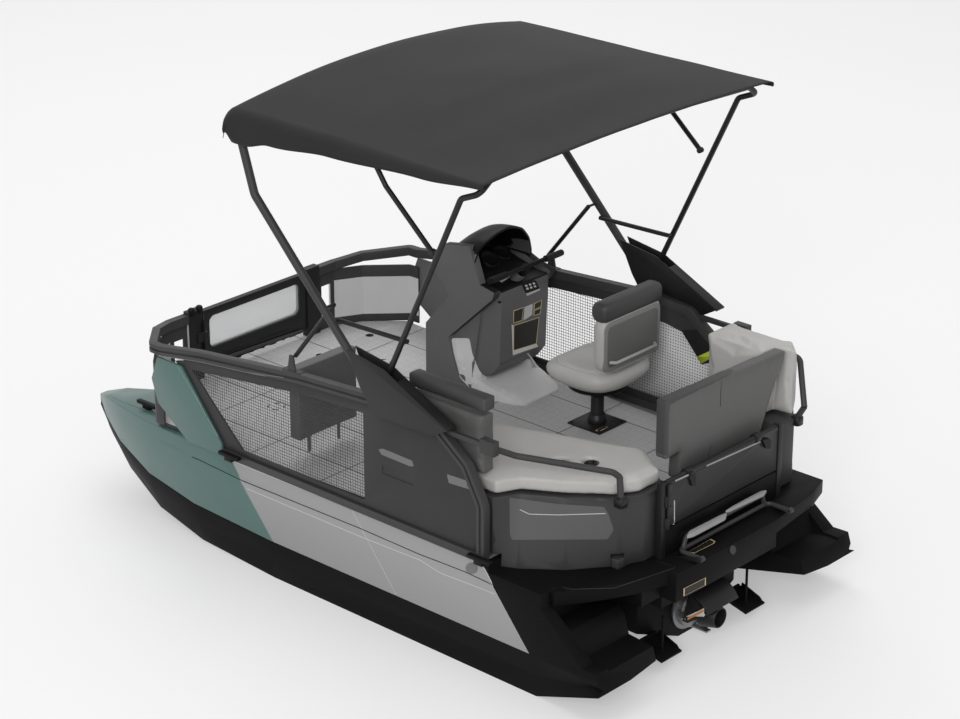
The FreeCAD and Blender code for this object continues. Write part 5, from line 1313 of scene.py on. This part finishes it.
def cowl_shell():
    rows = [roof_arc(y, top) for y, top in roof_line()]
    wide = ARC_PARTS + 1
    mesh = bpy.data.meshes.new("cowl")
    mesh.from_pydata([p for row in rows for p in row], [],
                     [(r * wide + k, r * wide + k + 1, (r + 1) * wide + k + 1, (r + 1) * wide + k)
                      for r in range(len(rows) - 1) for k in range(ARC_PARTS)])
    piece = new_piece("cowl", mesh, [plastic_black, moulding_grey])
    outward(piece)
    walled(piece, COWL_WALL, 0)
    rounded(piece, 0.003, 50)
    for face in piece.data.polygons:
        if abs(face.normal.y) > 0.86 and face.center.z < CHEEK_TOP:
            face.material_index = 1
    return piece


cowl = cowl_shell()
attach(cowl, "boat")
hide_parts("dash")
print("cowl", len(cowl.data.polygons), "faces")

# %% [markdown]
# ## Faces of the console
#
# The top tray of the console is black, and the faces that lean over the footwell get a painted
# shade. Both are flat faces of one moulding, so they get a colour of their own by where they lie
# and which way they face.

# %% Console surfaces
TRAY_LOW, TRAY_SIDE = 1.26, -0.41
LEAN_LOW, LEAN_HIGH, LEAN_FRONT = 0.85, 1.3, 0.25


def tinted(mesh, material, test):
    """Gives the faces that pass a test a finish of their own."""
    mesh.materials.append(material)
    for face in mesh.polygons:
        if test(face.center, face.normal):
            face.material_index = len(mesh.materials) - 1


def is_tray(p, n):
    return p.z > TRAY_LOW and n.z > 0.4 and p.y < TRAY_SIDE


console_mesh = dressed_pieces["console"].data
tinted(console_mesh, plastic_black, is_tray)
# Painted shade on the faces that lean over the footwell.
tinted(console_mesh, moulding_shade,
       lambda p, n: not is_tray(p, n) and n.z < -0.25 and LEAN_LOW < p.z < LEAN_HIGH
       and p.x < LEAN_FRONT)

FOOTWELL = [[(451.2, 338.1), (469.5, 338.1), (472.2, 353.1), (479.5, 371.2), (494.8, 384.0),
             (512.0, 387.9), (531.1, 378.9), (533.1, 358.4), (553.7, 391.3), (521.6, 408.1),
             (487.1, 405.7), (460.4, 377.9), (453.7, 353.1)]]
inlay("footwell_wrap", ("console", "footrest"), FOOTWELL, moulding_pale, 0.0014, 3.0, 5.0)

# %% [markdown]
# ## Plates of the console
#
# The console carries four bare plates with gold rims, a bright and a pale one beside them, a
# screw head and a dark joint along its foot.

# %% Console plates
CONSOLE_PLATES = (
    [(513.3, 325.3), (539.2, 317.1), (536.5, 343.9), (513.3, 350.8)],
    [(513.3, 310.6), (523.5, 307.1), (522.0, 320.9), (513.3, 323.4)],
    [(534.0, 303.3), (541.7, 299.9), (541.3, 306.8), (533.6, 310.0)],
    [(533.6, 310.6), (541.3, 307.5), (540.3, 313.8), (533.6, 315.7)])
BRIGHT_PLATE = [[(524.6, 307.1), (532.7, 303.7), (531.9, 314.8), (523.5, 320.5)]]
PALE_PLATE = [[(511.6, 324.4), (513.3, 325.3), (513.3, 350.8), (536.5, 343.9), (538.0, 346.4),
               (512.8, 355.3)]]
WEDGE_SCREW = [[(498.2, 301.0), (500.9, 301.0), (501.7, 302.5), (499.8, 303.7), (497.8, 302.7)]]
CONSOLE_FOOT = [[(427.8, 375.6), (441.2, 384.6), (460.4, 395.1), (479.5, 403.2), (494.8, 406.6),
                 (521.6, 408.1)]]
for i, spots in enumerate(CONSOLE_PLATES):
    blank_label("console_label_%d" % i, "console", spots, 0.9)
inlay("console_label_bright", "console", BRIGHT_PLATE, bright_mark_and_highlight, 0.001)
inlay("console_label_pale", "console", PALE_PLATE, label_white, 0.001)
inlay("wedge_screw", "console", WEDGE_SCREW, line_dark, 0.0016, 0.5, 3.0)
seam("console_foot", "console", CONSOLE_FOOT, 0.0016, line_dark)
print("console faces made")

# %% [markdown]
# ## Instruments
#
# Under the cowl lie two round gauges, a small screen and a keypad. A gauge is a turned shape, so
# it is a stack of rings: the case, a raised rim and a sunk glass. It is made upright at the
# origin and then tilted toward the driver.

# %% Instruments
GAUGES = ((0.2, -0.6, 0.062, 1.385, 0.5), (0.22, -0.72, 0.056, 1.385, 0.45))
GAUGE_RINGS = ((-0.05, 1.0), (0.0, 1.0), (0.018, 0.97), (0.02, 0.9), (0.006, 0.82), (0.005, 0.3))
for i, (x, y, radius, z, tilt) in enumerate(GAUGES):
    gauge = ring_form("gauge_%d" % i, [(up, (0, 0), (radius * share, radius * share), 2)
                                       for up, share in GAUGE_RINGS],
                      2, "boat", plastic_black, 40)
    gauge.data.transform(Matrix.Translation((x, y, z)) @ Matrix.Rotation(-tilt, 4, "Y"))
SCREEN = [[(495.9, 278.4), (504.7, 274.2), (510.1, 277.5), (501.7, 282.6)]]
KEYPAD = [[(521.2, 284.2), (535.3, 280.0), (539.2, 288.4), (525.8, 293.4)]]
KEYPAD_EDGE = [[(525.8, 293.0), (539.2, 288.0), (539.9, 289.9), (526.9, 295.7)]]
KEYS = [[(524.3, 285.1), (526.2, 284.6), (526.9, 286.1), (525.0, 286.7)],
        [(528.1, 284.0), (530.0, 283.4), (530.8, 284.9), (528.8, 285.5)],
        [(531.9, 282.8), (533.8, 282.3), (534.6, 283.8), (532.7, 284.4)],
        [(525.4, 288.0), (527.3, 287.4), (528.1, 289.0), (526.2, 289.5)],
        [(529.2, 286.9), (531.1, 286.3), (531.9, 287.8), (530.0, 288.4)],
        [(533.1, 285.7), (535.0, 285.1), (535.7, 286.7), (533.8, 287.2)]]
inlay("screen", "console", SCREEN, label_white, 0.006, 0.6, 4.0)
inlay("keypad", "console", KEYPAD, line_dark, 0.004, 1.0, 5.0)
inlay("keypad_edge", "console", KEYPAD_EDGE, bright_mark_and_highlight, 0.003, 0.5, 4.0)
inlay("keypad_keys", "console", KEYS, label_white, 0.006, 0.0, 4.0)
print("console made")

# %% [markdown]
# ## Lines of the hull
#
# The covers carry a long groove under the sheer and a bright bead along their rear end. The
# rounded sheer edge, the step below it and the edge of the fairing get painted highlights, in lit
# copies of the paint, and the bow groove gets painted shade. A round line that is sunk by most of
# its radius looks like a bead pressed into the moulding. All of them are mirrored to the other
# side.

# %% Hull lines
COVERS = ("bow_covers", "side_covers")
HULL_GROOVE = [[(191.8, 456.9), (198.0, 459.4), (242.9, 481.0), (359.2, 528.0), (420.0, 554.5),
                (440.0, 562.1), (465.3, 571.9), (491.9, 584.5)]]
SHEER_HIGHLIGHT = [[(234.7, 461.8), (349.0, 507.6), (420.0, 535.1), (440.0, 544.7), (465.8, 555.3)]]
STEP_HIGHLIGHT = [[(247.3, 488.8), (363.3, 537.8), (420.0, 560.2), (440.0, 573.0), (466.7, 583.1),
              (495.0, 594.3)]]
COVER_END = [[(468.1, 555.9), (484.9, 569.6), (493.3, 585.9), (529.8, 652.7)]]
COVER_SLANT = [[(350.6, 507.6), (395.9, 594.3)]]
FAIRING_HIGHLIGHT = [[(177.1, 365.9), (195.9, 397.3), (217.8, 436.1)]]
BOW_GROOVE = [[(108.2, 394.9), (123.5, 402.4), (140.8, 408.6), (156.1, 416.7)]]
SIDE_PLUG = [[(471.7, 562.1), (475.9, 563.7), (478.2, 568.2), (476.5, 572.7), (471.7, 574.4),
              (467.2, 572.4), (465.3, 568.2), (467.5, 563.7)]]
# The sheer, step and fairing lines are painted highlights; the bow groove is painted shade.
for name, node, paths, radius, material, lift in (
        ("hull_groove", COVERS, HULL_GROOVE, 0.0022, line_dark, 0.0),
        ("sheer_highlight", "side_covers", SHEER_HIGHLIGHT, 0.0042, silver_highlight, -0.001),
        ("step_highlight", "side_covers", STEP_HIGHLIGHT, 0.005, silver_highlight, -0.0036),
        ("cover_end_bead", "side_covers", COVER_END, 0.0024, bright_mark_and_highlight, -0.0008),
        ("cover_slant", "side_covers", COVER_SLANT, 0.0013, bright_mark_and_highlight, 0.0),
        ("fairing_highlight", "fairings", FAIRING_HIGHLIGHT, 0.002, teal_highlight, 0.0),
        ("bow_groove", "bow_covers", BOW_GROOVE, 0.0015, teal_shade, 0.0)):
    seam(name, node, paths, radius, material, lift, both=True)
inlay("side_plug", "side_covers", SIDE_PLUG, cap_grey, 0.002, 2.0, 3.0, both=True)
print("hull lines made")

# %% [markdown]
# ## Cup holders
#
# Two cup holders are sunk into the corner seat. Each is a dark ring with a darker disc on it; a
# circle seen at this slant is an ellipse in the picture.

# %% Cup holders
CUPS = ((561.5, 463.0), (591.5, 463.0))
RIM_HALVES, WELL_HALVES = (7.6, 3.2), (6.2, 2.5)


def ellipse(middle, halves, count=20):
    turns = [t * math.pi / (count / 2) for t in range(count)]
    return [(middle[0] + halves[0] * math.cos(t), middle[1] + halves[1] * math.sin(t))
            for t in turns]


for i, cup in enumerate(CUPS):
    for part, halves, material, lift in (("rim", RIM_HALVES, cap_dark, 0.003),
                                         ("well", WELL_HALVES, line_dark, 0.0036)):
        inlay("cup_%s_%d" % (part, i), "lounge_cushion_port", [ellipse(cup, halves)], material,
              lift, cell=4.0)
print("cup holders made")

# %% [markdown]
# ## Stern backrest and gate
#
# The backrest has a dark band along its top and port end, and two short seams. The gate below it
# has a bright strip, a soft grey bar along its top and two dark catches.

# %% Stern backrest and gate
BAND_LOW, BAND_END, BAND_FOOT = 1.335, 0.185, 1.06
BACKREST_SEAM = [[(721.3, 380.0), (720.3, 406.5)],
                 [(710.9, 444.8), (707.8, 457.6)]]
STARBOARD_PLATE = [(817.9, 520.0), (830.9, 513.5), (830.6, 520.8), (818.2, 527.5)]
GATE_STRIP = [[(674.3, 500.3), (674.3, 531.2)]]
GATE_TOP = [[(675.1, 481.0), (692.5, 473.1)],
            [(706.6, 465.8), (759.9, 441.7)]]
GATE_CATCHES = [[(686.9, 473.7), (692.5, 471.4), (694.8, 474.8), (694.2, 484.9), (690.8, 486.0),
                 (688.6, 477.6)],
                [(761.3, 440.0), (768.3, 437.8), (770.0, 441.1), (768.8, 447.9), (764.9, 448.4),
                 (762.7, 442.8)]]
tinted(cushions["stern_backrest"].data, vinyl_dark,
       lambda p, n: p.z > BAND_LOW or (p.y > BAND_END and p.z > BAND_FOOT and n.y > 0.3))
seam("backrest_seam", "stern_backrest", BACKREST_SEAM, 0.0015, line_dark)
blank_label("starboard_label", "stern_platform", STARBOARD_PLATE, 0.9)
seam("gate_strip", "stern_gate", GATE_STRIP, 0.0035, bright_mark_and_highlight)
seam("gate_top_light", "stern_gate", GATE_TOP, 0.005, pad_grey)
inlay("gate_catches", "stern_gate", GATE_CATCHES, line_dark, 0.01, 1.0, 3.0)
print("backrest and gate lined")

# %% [markdown]
# ## Step pads of the ladder
#
# Two grey pads lie on the folded ladder. A ray to the thin tubes would miss them at places, so
# the pads are placed where the rays meet a level plane at the height of the tubes, and are then
# held within the ladder's depth.

# %% Ladder pads
PAD_Z, PAD_AFT, PAD_FORE = 0.672, -1.965, -1.815
LADDER_PADS = (
    [(686.4, 538.8), (689.2, 533.2), (720.6, 517.2), (726.8, 515.2), (725.6, 520.0),
     (693.9, 536.8)],
    [(724.8, 513.5), (729.0, 507.3), (759.9, 493.3), (766.9, 492.2), (764.1, 496.1),
     (729.0, 512.4)])
pads = []
for outline in LADDER_PADS:
    places = [on_plane(spot, 2, PAD_Z) for spot in outline]
    pads.append([Vector((min(PAD_FORE, max(PAD_AFT, p.x)), p.y, PAD_Z)) for p in places])
slabs("ladder_pads", "ladder", pads, pad_grey, 0.014, corner=0.012, edge=0.004)
print("ladder pads made")

# %% [markdown]
# ## Strut plate and stern net
#
# A black plate with a lime band stands beside the starboard strut. Behind the struts the sides
# are solid in the model; a pale skin with a pattern of dark dots gives them the look of net.

# %% Strut plate and stern net
STRUT_Y = -0.985
STRUT_PLATE = ((-0.852, 1.143), (-0.964, 1.174), (-1.107, 1.04), (-0.997, 0.983))
STRUT_BAND = ((696.8, 356.8), (710.9, 350.4), (713.2, 356.8), (701.4, 363.7))
NET_Y = -0.9935
NET_OUTLINE = ((-0.4, 0.7), (-0.4, 1.14), (-0.72, 1.15), (-0.9, 1.12), (-1.04, 1.0),
               (-1.12, 0.84), (-1.13, 0.7))
slabs("strut_plate", "boat", [[(x, STRUT_Y, z) for x, z in STRUT_PLATE]], metal_black, 0.004,
      (0, 1, 0), 0.01, 0.001)
slabs("strut_band", "boat", [[on_plane(spot, 1, STRUT_Y + 0.0045) for spot in STRUT_BAND]],
      label_lime, 0.001, (0, 1, 0), 0.002, 0.0)
slabs("net_liner", "boat", [[(x, NET_Y, z) for x, z in NET_OUTLINE]], net_liner, 0.001,
      (0, 1, 0), 0.03, 0.0, both=True)
print("lines and stern made")

# %% [markdown]
# ## Bow gate
#
# The gate at the bow has two dark slots, a round tube along its foot and a bar below it. Thin
# pale strips beside its posts stand for the gaps that let the floor show through. Four round
# knobs cap the posts.

# %% Bow gate
GATE_GAPS = [[(186.3, 324.6), (188.5, 324.1), (190.0, 354.5), (187.7, 354.5)],
             [(292.7, 285.4), (294.3, 284.8), (295.5, 321.8), (293.5, 322.4)]]
GATE_SLOTS = [[(216.5, 355.2), (248.0, 344.3)],
              [(257.9, 339.8), (288.7, 328.9)]]
GATE_TUBE = [[(224.2, 357.8), (301.4, 330.7)]]
GATE_BAR = [[(229.8, 358.7), (301.4, 334.2), (301.4, 339.8), (236.8, 360.8)]]
KNOBS = ((191.4, 311.7), (199.2, 308.9), (297.1, 274.1), (303.5, 272.4))
KNOB_RINGS = ((-0.02, 0.02), (0.012, 0.02), (0.02, 0.014))
inlay("bow_gate_light", "bow_posts", GATE_GAPS, label_white, 0.003, cell=4.0)
seam("bow_gate_slots", "bow_gate", GATE_SLOTS, 0.004, line_dark)
seam("bow_gate_tube", "bow_gate", GATE_TUBE, 0.012, metal_grey, 0.004)
inlay("bow_gate_bar", "bow_gate", GATE_BAR, line_dark, 0.006, 1.0, 4.0)
for i, spot in enumerate(KNOBS):
    place, normal = seen(spot, "bow_posts")
    turned("bow_knob_%d" % i, place, KNOB_RINGS, plastic_black, 20)
print("bow gate made")

# %% [markdown]
# ## Inner faces of the bow
#
# The coloured plates at the bow are grey inside, and the panels between the posts have a pale
# liner between two heights. Two level cuts give the panels faces that end at those heights.

# %% Inner faces of the bow
DECK_Z = 0.63
LINER_LOW, LINER_HIGH = 0.69, 0.925


def facing_in(p, n):
    return n.y * p.y < -0.35 * abs(p.y) and p.z > DECK_Z


tinted(dressed_pieces["fairings"].data, moulding_grey, facing_in)
inner = dressed_pieces["bow_panels"].data
for height in (LINER_LOW, LINER_HIGH):
    work = bmesh.new()
    work.from_mesh(inner)
    bmesh.ops.bisect_plane(work, geom=work.verts[:] + work.edges[:] + work.faces[:],
                           plane_co=(0, 0, height), plane_no=(0, 0, 1))
    work.to_mesh(inner)
    work.free()
tinted(inner, liner_pale, lambda p, n: facing_in(p, n) and LINER_LOW < p.z < LINER_HIGH)
print("bow made")

# %% [markdown]
# ## Handlebar grips
#
# The grips are rubber sleeves over the ends of the bar. The bar's own points near two distances
# from the steering axis tell where its middle line runs, so each sleeve lies on the bar.

# %% Handlebar grips
STEER_Y = -0.65
GRIP_REACH = (0.29, 0.16)
GRIP_RADIUS = 0.019
bar = dressed_pieces["handlebar"].data
for side, name in ((-1, "grip_starboard"), (1, "grip_port")):
    ends = []
    for reach in GRIP_REACH:
        y = STEER_Y + side * reach
        near = [v.co for v in bar.vertices if abs(v.co.y - y) < 0.035]
        if near:
            x, z = [(min(p[i] for p in near) + max(p[i] for p in near)) / 2 for i in (0, 2)]
            ends.append(Vector((x, y, z)))
    if len(ends) == 2:
        threaded(name, ends, [(0, 1)], GRIP_RADIUS, line_dark, "handlebar", 16)
print("grips made")

# %% [markdown]
# ## Handrail feet
#
# The grab rails beside the stern seats end in short legs with a round foot each.

# %% Handrail feet
FOOT_LEGS = ((-1.672, 0.53, 1.06), (-1.694, 0.542, 0.93), (-1.765, -0.86, 1.002),
             (-1.722, -0.842, 0.915))
FEET = (("port", (-1.692, 0.541, 0.942)), ("starboard", (-1.732, -0.846, 0.93)))
FOOT_RINGS = ((-0.03, 0.03), (0.01, 0.03), (0.018, 0.024))
threaded("handrail_feet", FOOT_LEGS, [(0, 1), (2, 3)], 0.0165, metal_grey, "boat", 14)
for name, place in FEET:
    turned("rail_foot_" + name, place, FOOT_RINGS, metal_black, 28, 3)
print("rail feet made")

# %% [markdown]
# ## Small parts along the sides
#
# Two grey slots break the dark side panel, and a soft light runs along the upper corner of the
# rail. Round marks on the deck show where its sockets are.

# %% Small parts along the sides
PANEL_SLOTS = [[(378.6, 449.4), (382.7, 448.4), (412.2, 460.6), (413.9, 466.3), (410.2, 466.3),
                (381.6, 454.5)]]
PANEL_SLOT_SHORT = [[(447, 474), (471, 482), (472, 490), (449, 483)]]
RAIL_SHINE = [[(153.5, 356.1), (167.3, 360.6), (189.8, 365.1), (242.9, 371.8), (283.7, 377.6)]]
RAIL_SHINE_LOW = [[(186.3, 363.4), (227.0, 369.5), (266.3, 376.3)]]
inlay("panel_slots", "side_panels", PANEL_SLOTS, cap_grey, 0.0012, 1.0, 4.0)
inlay("panel_slot_short", "side_panels", PANEL_SLOT_SHORT, cap_grey, 0.0012, 1.0, 4.0)
seam("rail_shine", "rail_port", RAIL_SHINE, 0.0022, rail_light)
seam("rail_shine_low", "rail_port", RAIL_SHINE_LOW, 0.002, rail_light)

DECK_MARKS = ((1.15, 0.0), (0.86, -0.42), (0.86, 0.42), (-0.3, 0.15))
MARK_RADIUS, MARK_LINE = 0.045, 0.0028
MARK_STARTS, MARK_STEP = (20, 110, 200, 290), 10
mark_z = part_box("deck_panel")[1][2] + 0.0005
for i, (x, y) in enumerate(DECK_MARKS):
    for k, start in enumerate(MARK_STARTS):
        turns = [math.radians(start + t * MARK_STEP) for t in range(5)]
        arc = [(x + MARK_RADIUS * math.cos(t), y + MARK_RADIUS * math.sin(t), mark_z)
               for t in turns]
        threaded("deck_mark_%d_%d" % (i, k), arc, [(j, j + 1) for j in range(4)], MARK_LINE,
                 line_dark, "boat", 6)
print("side details made")

# %% [markdown]
# ## Trim tab trays
#
# Each trim tab is a bent plate with a low wall along both sides, so it looks like a tray. The
# walls follow the plate from its hinge to its rear edge.

# %% Trim tab trays
HINGE_Z = 0.118
for node in ("trim_tab_port", "trim_tab_starboard"):
    low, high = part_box(node)
    plate = [v.co for v in dressed_pieces[node].data.vertices]
    rear = min(p.x for p in plate)
    rear_z = max(p.z for p in plate if p.x < rear + 0.01)
    walls = [[(rear + 0.01, y, rear_z - 0.004), (-1.73, y, HINGE_Z - 0.006),
              (-1.735, y, HINGE_Z + 0.022), (rear + 0.03, y, rear_z + 0.02)]
             for y in (low[1] + 0.004, high[1] - 0.004)]
    slabs(node + "_walls", node, walls, hull_black, 0.003, (0, 1, 0), 0.004, sink=0.003)
print("trim tab trays made")

# %% [markdown]
# ## Studio
#
# A very large pale floor, three broad soft lights and an even sky. At this level a colour
# renders about as it is written. The floor glows only toward rays from the camera, reflections
# and glass, so it looks pale without lighting the boat, and it keeps the boat's shadow.

# %% Floor and lights
FLOOR_HALF = 60.0
FLOOR_PALE = (0.55, 0.55, 0.55)
GLOW = (0.37, 0.37, 0.37)
SKY = 0.58
LAMPS = (("overhead_softbox", (1.0, -1.0, 14.0), (0.0, 0.0, 0.0), (14.0, 14.0), 530.0),
         ("quarter_softbox", (-12.0, 18.0, 12.0), (0.0, 0.0, 0.8), (9.0, 7.0), 2200.0),
         ("bow_softbox", (9.0, -7.0, 14.0), (0.0, 0.0, 0.8), (8.0, 8.0), 500.0))


def studio_floor():
    r = Recipe("studio_floor")
    rays = sum(r.node("ShaderNodeLightPath", output="Is %s Ray" % kind)
               for kind in ("Camera", "Glossy", "Transmission"))
    paint = r.finish(Base_Color=FLOOR_PALE, Roughness=1.0, Specular_IOR_Level=0.0,
                     Emission_Color=r.blend(rays.low(1.0), (0.0, 0.0, 0.0), GLOW),
                     Emission_Strength=1.0)
    half = FLOOR_HALF
    mesh = bpy.data.meshes.new("studio_floor")
    mesh.from_pydata([(-half, -half, 0), (half, -half, 0), (half, half, 0), (-half, half, 0)], [],
                     [(0, 1, 2, 3)])
    new_piece("studio_floor", mesh, [paint])


def studio_lights():
    world = bpy.data.worlds.new("studio_sky")
    bpy.context.scene.world = world
    world.use_nodes = True
    sky = world.node_tree.nodes["Background"]
    sky.inputs["Color"].default_value = (1.0, 1.0, 1.0, 1.0)
    sky.inputs["Strength"].default_value = SKY
    for name, place, aim, size, watts in LAMPS:
        lamp = bpy.data.lights.new(name, "AREA")
        lamp.shape = "RECTANGLE"
        lamp.size, lamp.size_y = size
        lamp.energy = watts
        light = bpy.data.objects.new(name, lamp)
        bpy.context.scene.collection.objects.link(light)
        light.location = place
        way = Vector(aim) - Vector(place)
        light.rotation_euler = way.to_track_quat("-Z", "Y").to_euler()


studio_floor()
studio_lights()
bpy.context.scene.view_settings.view_transform = "Standard"
print("studio lit by", len(LAMPS), "lamps")
